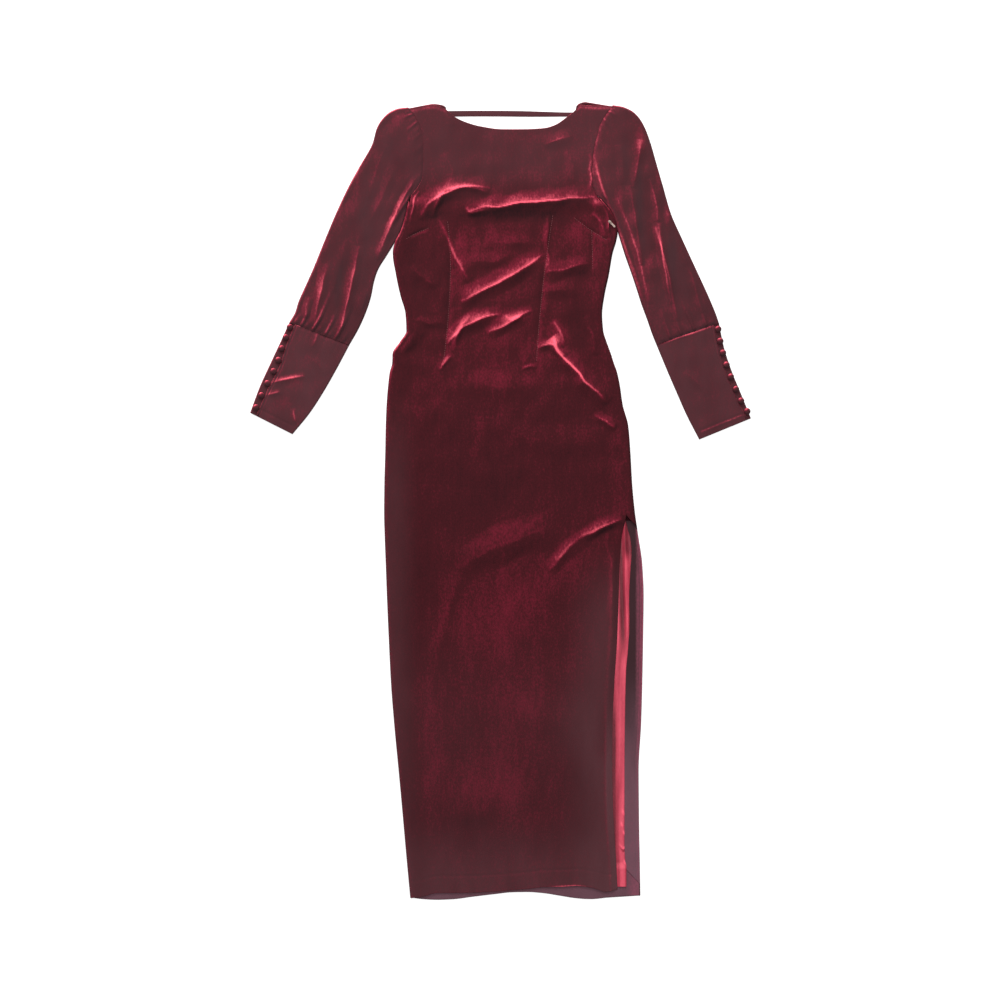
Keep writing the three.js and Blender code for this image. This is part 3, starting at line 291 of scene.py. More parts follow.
# Painted highlights and painted shade in soft patches: their middle, their reach both ways, and their
# strength, negative for shade
PAINTED_LIGHT_PATCHES = table(
    "x y reach_x reach_y strength",
    (-78, 558, 30, 10, 0.16), (-23, 560, 16, 8, 0.12), (138, 484, 24, 40, 0.10),
    (60, 431, 26, 9, 0.14), (-73, 429, 10, 40, 0.12), (-23, 329, 42, 12, 0.14),
    (32, 329, 30, 12, 0.12), (-84, 285, 15, 22, 0.10), (104, 296, 14, 24, 0.18),
    (138, 240, 20, 30, 0.10), (-34, 240, 60, 50, 0.05), (-23, 515, 80, 13, -0.13),
    (-118, 514, 15, 14, -0.16), (80, 510, 44, 10, -0.12), (-150, 406, 20, 60, -0.06),
    (148, 408, 14, 10, -0.08), (150, 318, 20, 44, -0.09), (171, 536, 7, 13, 0.20),
    (163, 588, 3, 32, 0.12), (-156, 556, 5, 18, 0.12), (-258, 582, 10, 42, 0.14),
    (-241, 514, 12, 64, -0.2), (-285, 554, 14, 50, 0.07), (-291, 388, 9, 56, -0.24),
    (-247, 388, 9, 40, -0.07), (-325, 377, 6, 50, 0.12), (-180, 688, 14, 10, 0.10),
    (-202, 638, 20, 24, -0.12), (-374, 215, 16, 8, 0.2), (-386, 176, 20, 11, 0.12),
    (-363, 148, 10, 10, 0.12), (252, 642, 9, 30, 0.24), (284, 590, 5, 30, 0.18),
    (300, 520, 5, 34, 0.18), (280, 505, 7, 44, 0.12), (222, 618, 9, 34, -0.14),
    (250, 540, 7, 56, -0.28), (258, 470, 7, 30, -0.14), (310, 440, 10, 50, -0.3),
    (333, 392, 12, 40, -0.12), (262, 410, 10, 50, 0.08), (212, 545, 7, 30, 0.12),
    (-35, -233, 66, 130, 0.06), (20, -400, 70, 100, 0.05), (-51, -577, 32, 12, -0.08),
    (-150, -100, 30, 160, -0.05), (0, -690, 260, 60, 0.06), (-60, 40, 80, 90, -0.04),
    (120, -110, 40, 30, 0.08), (330, 210, 14, 70, -0.05), (40, 652, 60, 10, 0.06),
    (-100, 652, 26, 26, -0.05), (130, 590, 20, 30, 0.05), (-6, 470, 50, 40, 0.07),
    (10, 296, 60, 36, 0.07), (-62, 470, 14, 50, 0.06), (60, 236, 22, 60, 0.06),
    (-20, 384, 60, 20, 0.06), (0, 160, 16, 80, 0.05), (-40, 130, 12, 70, 0.05),
    (-30, -520, 95, 64, 0.08), (40, -180, 50, 70, 0.05), (-120, -420, 30, 120, 0.05),
    (150, -520, 26, 120, -0.06), (-20, 30, 60, 60, -0.03),
)
BUTTON = Table(count=8, radius=6, height=6.6, neck=2.2, rim=1.7, from_lap=7)
BUTTON_SPAN = (0.05, 0.93)
BUTTON_BASE = FLOOR_Z + 2 * CUFF_OUTER_ROLL + VELVET / 2 + LAYER_GAP
LOOP_RADIUS = 3.4
CORD_RADIUS = 0.62
STRAP = Table(top=701, bottom=690.5)
MITRE = Table(inner_x=225.5, inner_y=-663, outer_x=250, outer_y=-689)
MITRE_GAP = 0.3
HEM_FACING = Table(start_x=-150, depth=45)
HEM_INSET = 0.7
HEM_STITCH_RISE = 30
LINING = Table(top=-28, bottom=-695, under_front=14, fold_x=226, fold_end=-270)
STITCH = Table(long=2.6, apart=4.2, wide=0.7, high=0.35)
LOWEST = 0.02

# The width of floor in the picture and half the floor, in metres, and the lens, in millimetres
FRAMED_WIDTH = 1.8018
LENS = 85
SENSOR = 36
FLOOR_HALF = 40


def look(rows, key, column, at):
    """Smooth lookup in a table whose key column only rises or only falls."""
    xs, ys = rows[key], rows[column]
    if xs[0] > xs[-1]:
        xs, ys = xs[::-1], ys[::-1]
    step = np.diff(xs)
    slope = np.diff(ys) / step
    tangent = np.empty_like(ys)
    tangent[0], tangent[-1] = slope[0], slope[-1]
    before, after = slope[:-1], slope[1:]
    total = np.where(before + after == 0, 1, before + after)
    tangent[1:-1] = np.where(before * after > 0, 2 * before * after / total, 0)
    at = np.clip(at, xs[0], xs[-1])
    i = np.clip(np.searchsorted(xs, at) - 1, 0, len(step) - 1)
    t = (at - xs[i]) / step[i]
    rise = step[i]
    return (
        ys[i] * (1 + 2 * t) * (1 - t) ** 2
        + ys[i + 1] * t * t * (3 - 2 * t)
        + rise * (tangent[i] * t * (1 - t) ** 2 + tangent[i + 1] * t * t * (t - 1))
    )


def mix(a, b, share):
    return a + (b - a) * share


def smooth(x, low, high):
    t = np.clip((x - low) / (high - low), 0, 1)
    return t * t * (3 - 2 * t)


def bell(distance, width):
    return np.exp(-((distance / width) ** 2))


def across(count):
    """Even shares from 0 to 1, as one row."""
    return np.linspace(0, 1, count)[None, :]


def crest_points(folds, k, steps):
    """The numbers of one fold, and points on its crest."""
    fold = Table((name, column[k]) for name, column in folds.items())
    ends = [(1 - steps) ** 2 * fold[axis + "1"] + 2 * steps * (1 - steps) * fold[axis + "2"] for axis in "xy"]
    return fold, ends[0] + steps**2 * fold.x3, ends[1] + steps**2 * fold.y3


def fold_heights(folds, x, y):
    """Sum of the folds' heights at each point, by its distance to each crest, and a painted highlight along
    each crest.
    """
    total = np.zeros(np.broadcast(x, y).shape)
    painted_highlights = np.zeros(total.shape)
    stray_x, stray_y = STRAY_X(x, y), STRAY_Y(x, y)
    wander = FOLD_WANDER if folds is FRONT_FOLDS else SMALL_WANDER
    steps = np.linspace(0, 1, 25)
    for k in range(len(folds.x1)):
        fold, cx, cy = crest_points(folds, k, steps)
        wide = max(fold.above, fold.below)
        near = (
            (x > cx.min() - wide) & (x < cx.max() + wide) & (y > cy.min() - wide) & (y < cy.max() + wide)
        )
        if not near.any():
            continue
        px, py = x[near] + wander * stray_x[near], y[near] + wander * stray_y[near]
        best = np.full(px.shape, 1e9)
        share = np.zeros(px.shape)
        over = np.zeros(px.shape)
        for s in range(len(steps) - 1):
            ax, ay = cx[s], cy[s]
            dx, dy = cx[s + 1] - ax, cy[s + 1] - ay
            t = np.clip(((px - ax) * dx + (py - ay) * dy) / (dx * dx + dy * dy), 0, 1)
            ox, oy = px - ax - t * dx, py - ay - t * dy
            distance = np.hypot(ox, oy)
            closer = distance < best
            best = np.where(closer, distance, best)
            share = np.where(closer, mix(steps[s], steps[s + 1], t), share)
            side = oy if abs(fold.x3 - fold.x1) > abs(fold.y3 - fold.y1) * 0.3 else ox
            over = np.where(closer, side, over)
        width = mix(fold.below, fold.above, smooth(over, -6, 6))
        soft = 0.5 + 0.5 * np.cos(np.pi * np.clip(best / width, 0, 1))
        crisp = np.exp(-((best / (0.22 * wide)) ** 2) ** 0.75)
        across = mix(soft, 0.55 * soft + 0.6 * crisp * soft, fold.sharp)
        ends = np.sin(np.pi * np.clip(share, 0, 1)) ** 0.6
        total[near] += fold.height * across * ends
        # a painted highlight along the crest, a bright core in a softer glow, stronger on sharp folds
        from_crest = (over - 0.4) ** 2 + 0.35 * best**2
        highlight_profile = 0.95 * np.exp(-from_crest / HIGHLIGHT_CORE_WIDTH**2) + 0.2 * np.exp(-from_crest / HIGHLIGHT_GLOW_WIDTH**2)
        painted_highlights[near] += min(abs(fold.height), 3.2) * fold.sharp * highlight_profile * ends
    return total, painted_highlights


def waves(seed, count, shortest, longest):
    """A soft uneven surface: a sum of long waves in all directions."""
    draw = np.random.default_rng(seed)
    length = draw.uniform(shortest, longest, count)
    angle = draw.uniform(0, math.tau, count)
    phase = draw.uniform(0, math.tau, count)

    def height(x, y):
        total = 0
        for k in range(count):
            along = (x * math.cos(angle[k]) + y * math.sin(angle[k])) / length[k]
            total = total + np.sin(math.tau * along + phase[k])
        return total / math.sqrt(count)

    return height


SETTLED = waves(3, 14, 60, 210)
RUMPLED = waves(8, 16, 26, 70)
STRAY_X = waves(21, 14, 24, 80)
STRAY_Y = waves(34, 14, 24, 80)


def normals(grid, ring=False):
    """Unit normals of a grid of points, facing as across x down turns."""
    if ring:
        across = np.roll(grid, -1, 1) - np.roll(grid, 1, 1)
    else:
        across = np.gradient(grid, axis=1)
    down = np.gradient(grid, axis=0)
    normal = np.cross(down, across)
    size = np.linalg.norm(normal, axis=2, keepdims=True)
    return normal / np.maximum(size, 1e-9)


def turned(grid, side, radius=EDGE_RADIUS, turn_in=TURN_IN, ring=False):
    """The grid with one edge rolled over and turned in, as a sewn edge is."""
    normal = normals(grid, ring)
    pick = {"top": (0, 1), "bottom": (-1, -2)}
    if side in pick:
        edge, inner = pick[side]
        line, up, out = grid[edge], normal[edge], grid[edge] - grid[inner]
    else:
        edge, inner = {"first": (0, 1), "last": (-1, -2)}[side]
        line, up, out = grid[:, edge], normal[:, edge], grid[:, edge] - grid[:, inner]
    out = out - up * np.sum(out * up, axis=1, keepdims=True)
    out /= np.maximum(np.linalg.norm(out, axis=1, keepdims=True), 1e-9)
    lines = []
    for degrees in (30, 60, 90, 130, 180):
        angle = math.radians(degrees)
        lines.append(line + out * radius * math.sin(angle) - up * radius * (1 - math.cos(angle)))
    lines.append(line - out * turn_in - up * 2 * radius)
    axis = 0 if side in pick else 1
    extra = np.stack(lines, axis)
    if side in ("top", "first"):
        return np.concatenate([np.flip(extra, axis), grid], axis)
    return np.concatenate([grid, extra], axis)


def smooth_mesh(name, points, faces, material):
    mesh = bpy.data.meshes.new(name)
    mesh.from_pydata(points, [], faces)
    mesh.polygons.foreach_set("use_smooth", np.ones(len(faces), bool))
    mesh.materials.append(material)
    return mesh


def in_scene(name, data):
    item = bpy.data.objects.new(name, data)
    bpy.context.scene.collection.objects.link(item)
    return item


def cloth_object(name, grid, material, ring=False, folds=(), shade=0.0, painted_sheen=0.5):
    """A mesh from a grid of points in millimetres, with two attributes on its points: painted light and
    shade, and a painted greyish sheen. The shade added to the first, and the sheen, are each a number or a
    function of x and y."""
    high, wide, _ = grid.shape
    normal = normals(grid, ring)
    index = np.arange(high * wide).reshape(high, wide)
    after = np.roll(index, -1, 1) if ring else index[:, 1:]
    before = index if ring else index[:, :-1]
    faces = np.stack([before[:-1], before[1:], after[1:], after[:-1]], -1).reshape(-1, 4)
    mesh = smooth_mesh(name, (grid.reshape(-1, 3) * MM).tolist(), faces.tolist(), material)
    x, y = grid[:, :, 0], grid[:, :, 1]
    facing_up = smooth(normal[:, :, 2], 0.1, 0.6)
    # painted light and shade: lighter where the cloth faces the key light towards +Y, and a little where it
    # turns towards -X; darker on its steep sides
    painted_light_and_tone = 0.4 + 0.8 * normal[:, :, 1] * facing_up - 0.1 * (1 - facing_up)
    painted_light_and_tone = painted_light_and_tone - 0.5 * np.clip(normal[:, :, 0], -0.25, 0.25) * facing_up
    # painted highlights along the fold crests
    for rows, strength in folds:
        painted_light_and_tone = painted_light_and_tone + strength * fold_heights(rows, x, y)[1] * facing_up
    # painted patches of light and shade
    for px, py, reach_x, reach_y, strength in zip(*PAINTED_LIGHT_PATCHES.values()):
        away = ((x - px) / reach_x) ** 2 + ((y - py) / reach_y) ** 2
        painted_light_and_tone = painted_light_and_tone + strength * np.exp(-away) * facing_up
    value_of = lambda entry: entry(x, y) if callable(entry) else entry + 0 * x
    for label, values in (("painted_light", painted_light_and_tone + value_of(shade)), ("painted_sheen", value_of(painted_sheen))):
        data = mesh.attributes.new(label, "FLOAT", "POINT").data
        data.foreach_set("value", np.clip(values, 0, 1).reshape(-1).astype(np.float32))
    mesh.update()
    return in_scene(name, mesh)


def body_rows(yoke_steps, side_steps):
    """The rows of the front and the back, from the shoulders to the hem, as columns of sizes."""
    place = np.linspace(0, 9, yoke_steps)
    yoke = {name: look(ARMHOLES, "place", name, place) for name in ARMHOLES if name != "place"}
    yoke_roll = LAYER_RISE / 2
    quarter = yoke_roll * math.pi / 2
    yoke.update(
        share=place / 9, roll=yoke_roll, right_x=yoke["right_x"] - yoke_roll, front_start=quarter,
        back_start=-quarter, fold_x=yoke["left_x"], front_stop=yoke["left_x"], back_stop=0, closed=0,
        yoke=1,
    )
    y = np.concatenate([np.linspace(a, b, n, endpoint=False) for a, b, n in side_steps] + [[HEM_Y]])
    into = smooth(-y, -YOKE_END, -SIDE_START)
    roll = mix(yoke_roll, SIDE_ROLL, into)
    right, left, seam, tuck = (look(BODY, "y", name, y) for name in ("right", "left", "seam", "tuck"))
    left_at_top, seam_at_top = (look(BODY, "y", name, SLIT_TOP) for name in ("left", "seam"))
    halves = math.pi * SIDE_ROLL
    closed = smooth(y, SLIT_FLAT, SLIT_TOP)
    # below the slit's top the cloth turned over the front grows narrower until its edge lies flat
    turned_over = (halves + left_at_top - SIDE_ROLL - seam_at_top) * closed
    fold_x = left - SIDE_ROLL * np.sin(np.minimum(turned_over / SIDE_ROLL, math.pi / 2))
    sewn = y >= SLIT_TOP
    side = dict(
        share=1, roll=roll, right_x=right, right_y=y, left_x=left, left_y=y,
        front_start=mix(roll * math.pi / 2, tuck, into),
        back_start=mix(-roll * math.pi / 2, tuck - SEAM_GAP, into),
        fold_x=mix(seam, fold_x, into),
        front_stop=np.where(sewn, seam - SEAM_GAP, seam),
        back_stop=into * np.where(sewn, halves + fold_x - seam, turned_over),
        closed=closed * into, yoke=0,
    )
    rows = {name: np.concatenate([yoke[name] + 0 * place, side[name] + 0 * y]) for name in side}
    rows["nominal_y"] = (rows["right_y"] + rows["left_y"]) / 2
    return Table((name, column[:, None]) for name, column in rows.items())


ROWS = body_rows(74, [(546, 180, 176), (180, 20, 50), (20, -130, 64), (-130, -640, 72), (-640, HEM_Y, 30)])


def row_y(rows, x):
    share = np.clip((x - rows.right_x) / (rows.left_x - rows.right_x), 0, 1)
    return mix(rows.right_y, rows.left_y, share)


SHOULDER_LINE = Table(right_x=-164.5, right_y=705, left_x=200.5, left_y=709)
SHOULDER_ENDS = (-125, 153)


def shoulder_x(rows, x):
    """The place on the shoulder line above x, with the armholes' edges drawn out to its ends."""
    first, last = SHOULDER_ENDS
    right = rows.right_x + rows.yoke * rows.roll
    low = mix(SHOULDER_LINE.right_x, first, np.clip((x - right) / (first - right), 0, 1))
    past = np.clip((x - last) / (rows.left_x - last), 0, 1)
    high = mix(last, SHOULDER_LINE.left_x, past)
    return np.where(x < first, low, np.where(x > last, high, x))


def shaped_y(rows, x, top, hem, fade):
    """The row's y at x, with the neckline or scoop fading out below it and the hem fading in."""
    top_x = shoulder_x(rows, x)
    y = row_y(rows, x) + (look(top, "x", "y", top_x) - row_y(SHOULDER_LINE, top_x)) * fade
    share = np.clip((HEM_BLEND - rows.nominal_y) / (HEM_BLEND - HEM_Y), 0, 1)
    return np.where(rows.nominal_y < HEM_BLEND, mix(HEM_BLEND, look(HEMS, "x", hem, x), share), y)


def top_z(rows, x, y):
    """Height of the middle of the upper layer."""
    from_right = x - rows.right_x - rows.roll
    from_left = rows.fold_x - x
    swell = 2 * rows.roll - LAYER_RISE
    sides = 1 - smooth(from_right, 0, ROLL_EASE) + rows.closed * (1 - smooth(from_left, 0, ROLL_EASE))
    open_left = smooth(from_left + 14 * (1 - rows.closed), 0, 14)
    fade = smooth(from_right, 0, 14) * np.where(rows.yoke > 0, 1, open_left)
    creases = fold_heights(FRONT_FOLDS, x, y)[0] + fold_heights(FRONT_DARTS, x, y)[0]
    skirt = smooth(-y, -200, 100)
    creases += mix(0.35, 0.2, skirt) * SETTLED(x, y) + mix(0.16, 0.02, skirt) * RUMPLED(x, y)
    return FLOOR_Z + LAYER_RISE + swell * sides + fade * creases


def over_right(rows, along):
    """Points of the folded-over right side, by the distance along the cloth from its outer line."""
    quarter = rows.roll * math.pi / 2
    start = rows.right_x + rows.roll
    angle = np.clip(along / rows.roll, -math.pi / 2, math.pi / 2)
    x = start - rows.roll * np.cos(angle)
    z = FLOOR_Z + rows.roll * (1 + np.sin(angle))
    x = x + np.maximum(np.abs(along) - quarter, 0)
    return x, z, along > quarter


def over_left(rows, along, lift=0.0):
    """Points of the back's left side, by the distance along the cloth from where it leaves the floor."""
    arc = rows.roll * math.pi
    angle = np.clip(along, 0, arc) / rows.roll
    rest = np.maximum(along - arc, 0)
    x = rows.fold_x + (rows.roll - lift) * np.sin(angle) - rest
    z = FLOOR_Z + rows.roll - (rows.roll - lift) * np.cos(angle)
    return x + np.minimum(along, 0), z, (rest > 0) & (rows.nominal_y >= SLIT_TOP)


def facing_out(grid, ring=False):
    """The grid with its columns in the order that makes its normals point out of the cloth's tube."""
    normal = normals(grid, ring)
    height = grid[:, :, 2] - grid[:, :, 2].mean()
    return grid if np.sum(normal[:, :, 2] * height) > 0 else grid[:, ::-1]


def outward(grid, distance, ring=False):
    return grid + normals(grid, ring) * distance


def body_painted_sheen(x, y):
    """A painted greyish sheen, stronger over the chest, along the skirt's edges, towards the hem and on the
    slit's rolled edge.
    """
    astray = x + 14 * np.sin(y / 85) + 7 * np.sin(y / 34 + 1)
    chest = 0.33 * smooth(y, 520, 610)
    low = 0.15 * smooth(-y, 150, 420) + 0.45 * smooth(-y, 560, 690)
    beside_slit = 0.42 * bell(astray - 182, 46) * smooth(-y, 60, 200)
    side = 0.3 * smooth(-x, 140, 200) * smooth(-y, -240, 0)
    rolled = 0.5 * smooth(x - look(BODY, "y", "seam", y), -13, -10) * smooth(-y, 300, 480)
    return chest + low + beside_slit + side + rolled


def front_shade(x, y):
    """A lit rim along the front hem, and a lit line where the slit's edge starts to roll over."""
    above_hem = y - look(HEMS, "x", "front", x)
    rim = (0.12 + 0.5 * bell(x - 124, 30)) * bell(above_hem - 0.3, 1.5)
    to_edge = look(BODY, "y", "seam", y) - x
    line = 0.17 * bell(to_edge - 11, 2.0) + 0.05 * smooth(-to_edge, -12, -9)
    return rim + line * smooth(-y, 300, 480)


def glints(x, y):
    """A V of light where the satin buckles low in the slit, and a few small puckers around it."""
    under = y + 627 - 1.1 * np.abs(x - 221)
    total = (bell(under, 1.8) - 0.6 * bell(under + 4.5, 2.5)) * bell(x - 221, 5)
    for px, py in ((218.7, -584), (222.5, -598.5), (224, -652), (221, -562), (226, -612)):
        total = total + 0.8 * bell(x - px + 0.3 * (y - py), 1.8) * bell(y - py, 4)
    return total


def satin_shade(x, y):
    """Painted light and shade on the lining: a painted highlight on its lengthwise fold with painted shade
    beside it in the upper part of the slit, painted shade at the slit's top and under the front's edge, and
    soft lighter and darker ripples below, with the painted glints.
    """
    upper = smooth(y, -300, -230)
    below_top = smooth(-y, 85, 115)
    centre = 228.5 - 0.02 * (y + 180)
    # a painted highlight on the fold's crest, painted shade beside it and a painted highlight on the thin
    # edge
    fold = 0.34 * bell(x - centre, 3.2) - 0.5 * bell(x - centre + 9, 5) + 0.3 * bell(x - 211.5, 1.6)
    fold = below_top * fold - 0.36 * (1 - below_top)
    # painted shade under the front's edge
    under_front = 1 - smooth(x - look(FACING_EDGE, "y", "x", y), -13, -9)
    ripple = 0.08 * np.sin((x - 0.02 * y) / 2.6 + 1.2 * np.sin(y / 55)) + 0.17 - 0.2 * under_front
    shadow = -0.4 * (1 - smooth(x, 205, 210)) * smooth(-y, 300, 460)
    return upper * fold + (1 - upper) * ripple + shadow + 0.55 * glints(x, y)


def facing_shade(x, y):
    """Painted shade on the facing, darkest beside the lining high up, and a painted highlight on a thin rim
    along its outer edge.
    """
    rim = bell(look(BODY, "y", "left", y) - x, 1.5)
    high = smooth(y, -600, -280)
    return high * (0.5 * smooth(x, 240, 247) - 0.42) + 0.06 * (1 - high) + 0.35 * rim


# a painted greyish sheen on the facing, stronger low down
def facing_painted_sheen(x, y):
    return 0.75 - 0.7 * smooth(y, -600, -280)


def hem_shade(x, y):
    return 0.3 * smooth(x, 222, 240) - 0.12


def front_panel(material):
    rows = ROWS
    quarter = rows.roll * math.pi / 2
    turn_end = np.maximum(rows.front_start, quarter) + 9
    x1, z1, upper1 = over_right(rows, mix(rows.front_start, turn_end, across(16)))
    x2 = mix(x1[:, -1:], rows.front_stop, across(172)[:, 1:])
    x = np.concatenate([x1, x2], 1)
    upper = np.concatenate([upper1, np.ones(x2.shape, bool)], 1)
    under_z = np.concatenate([z1, np.zeros(x2.shape)], 1)
    fade = 1 - rows.share
    y_up = shaped_y(rows, x, FRONT_TOP, "front", fade)
    y = np.where(upper, y_up, shaped_y(rows, x, FRONT_TOP, "back", fade))
    z = np.where(upper, top_z(rows, x, y), under_z)
    on_shoulder = np.clip(smooth(-x, 96, 104) + smooth(x, 134, 142), 0, 1)
    sink = on_shoulder * rows.yoke * (1 - smooth(rows.share, 0, 0.1))
    z = mix(z, FLOOR_Z + VELVET + LAYER_GAP, sink)
    # the open edge of the slit rolls down over its last centimetre
    free = (rows.nominal_y < SLIT_TOP - 30) * smooth(-rows.nominal_y, 50, 160)
    to_edge = rows.front_stop - x
    z = z - free * (1.5 * (1 - smooth(to_edge, 0, 9)) - 0.7 * bell(to_edge - 10.5, 3.2))
    # a stitched line holds the hem up
    z = z - 0.3 * bell(y - look(HEMS, "x", "front", x) - HEM_STITCH_RISE, 1.6) * upper
    grid = outward(np.stack([x, y, z], 2), VELVET / 2)
    grid = turned(turned(grid, "top"), "bottom")
    grid = turned(turned(grid, "first", 0.5, 0.8), "last")
    # strength of the painted highlights along the front's fold crests
    folds = ((FRONT_FOLDS, 0.26),)
    return cloth_object("front_velvet", grid, material, folds=folds, shade=front_shade, painted_sheen=body_painted_sheen)


def back_columns(count):
    """Places across the back, close together where the low scoop falls steeply."""
    x = np.linspace(*SHOULDER_ENDS, 800)
    steps = np.hypot(np.diff(x), 0.9 * np.diff(look(BACK_TOP, "x", "y", x)))
    length = np.concatenate([[0], np.cumsum(steps)])
    return np.interp(np.linspace(0, length[-1], count), length, x)


def left_begin(rows):
    """Where the back's left turn begins, with three places along it at least 1 mm apart."""
    mark = rows.back_stop
    for share in (1, 0.5, 0):
        mark = np.minimum(share * rows.roll * math.pi, mark - 1)
    return mark


def back_panel(material):
    rows = ROWS
    quarter = rows.roll * math.pi / 2
    end = np.minimum(rows.back_start, -quarter) - 12
    x1, z1, up1 = over_right(rows, mix(rows.back_start, end, across(22)))
    x2 = np.repeat(back_columns(112)[None, :], len(x1), 0)
    begin = np.minimum(0, left_begin(rows)) - 2
    x3, z3, up3 = over_left(rows, mix(begin, rows.back_stop, across(40)))
    x = np.concatenate([x1, x2, x3], 1)
    upper = np.concatenate([up1, np.zeros(x2.shape, bool), up3], 1)
    z = np.concatenate([z1, np.full(x2.shape, FLOOR_Z), z3], 1)
    fade = np.clip((rows.right_y - SCOOP_END) / (SHOULDER_LINE.right_y - SCOOP_END), 0, 1)
    y = shaped_y(rows, x, BACK_TOP, "back", fade)
    z = np.where(upper, top_z(rows, x, y), z)
    grid = outward(facing_out(np.stack([x, y, z], 2)), VELVET / 2 - 0.05)
    grid = turned(turned(grid, "top"), "bottom")
    grid = turned(turned(grid, "first"), "last", 0.5, 0.8)
    grid[:, :, 2] = np.maximum(grid[:, :, 2], LOWEST)
    return cloth_object("back_velvet", grid, material, painted_sheen=body_painted_sheen)


def scoop_x(y, side):
    low, high = ((2, 3) if side == "right" else (8, 7))
    xs, ys = BACK_TOP.x, BACK_TOP.y
    return mix(xs[low], xs[high], (ys[low] - y) / (ys[low] - ys[high]))


def neck_strap(material):
    """A narrow tube of cloth pressed flat, with rounded edges and a little play."""
    columns = across(120)
    around = np.linspace(0, math.tau, 25)[:-1][:, None]
    middle = (STRAP.top + STRAP.bottom) / 2
    half = (STRAP.top - STRAP.bottom) / 2
    rounded = lambda wave, power: np.sign(wave) * np.abs(wave) ** power
    x = mix(scoop_x(middle, "right") - 1, scoop_x(middle, "left") + 1, columns) + 0 * around
    narrow = 1 - 0.28 * smooth(columns, 0.55, 1)
    sway = 0.5 * np.sin(5.3 * columns) - 0.7 * smooth(columns, 0.5, 1)
    y = middle + sway + half * narrow * rounded(np.cos(around), 0.6)
    z = FLOOR_Z + 0.95 * rounded(np.sin(around), 0.8) + 0.2 * np.sin(9 * columns)
    grid = np.stack([x, y, np.maximum(z, 0.03)], 2).transpose(1, 0, 2)
    return cloth_object("neck_strap_velvet", grid, material, ring=True)


def catmull(points, steps):
    """Rings between given rings, on a smooth curve through each place of them."""
    padded = np.concatenate([2 * points[:1] - points[1:2], points, 2 * points[-1:] - points[-2:-1]])
    out = []
    for k in range(len(points) - 1):
        p0, p1, p2, p3 = padded[k : k + 4]
        for t in np.arange(steps) / steps:
            out.append(
                0.5 * (2 * p1 + (p2 - p0) * t + (2 * p0 - 5 * p1 + 4 * p2 - p3) * t * t
                       + (3 * p1 - p0 - 3 * p2 + p3) * t**3)
            )
    out.append(points[-1])
    return np.array(out)


def gathers(rows, share, distance):
    """Soft uneven ridges that run from a seam and die out."""
    total = np.zeros(np.broadcast(share, distance).shape)
    for k in range(len(rows.share)):
        fade = np.clip(1 - distance / rows.reach[k], 0, 1)
        width = rows.width[k] * (1 + 0.8 * (1 - fade))
        middle = rows.share[k] + 0.012 * math.sin(5 * k) * distance
        total += rows.height[k] * smooth(fade, 0, 0.9) * bell(share - middle, width)
    return total


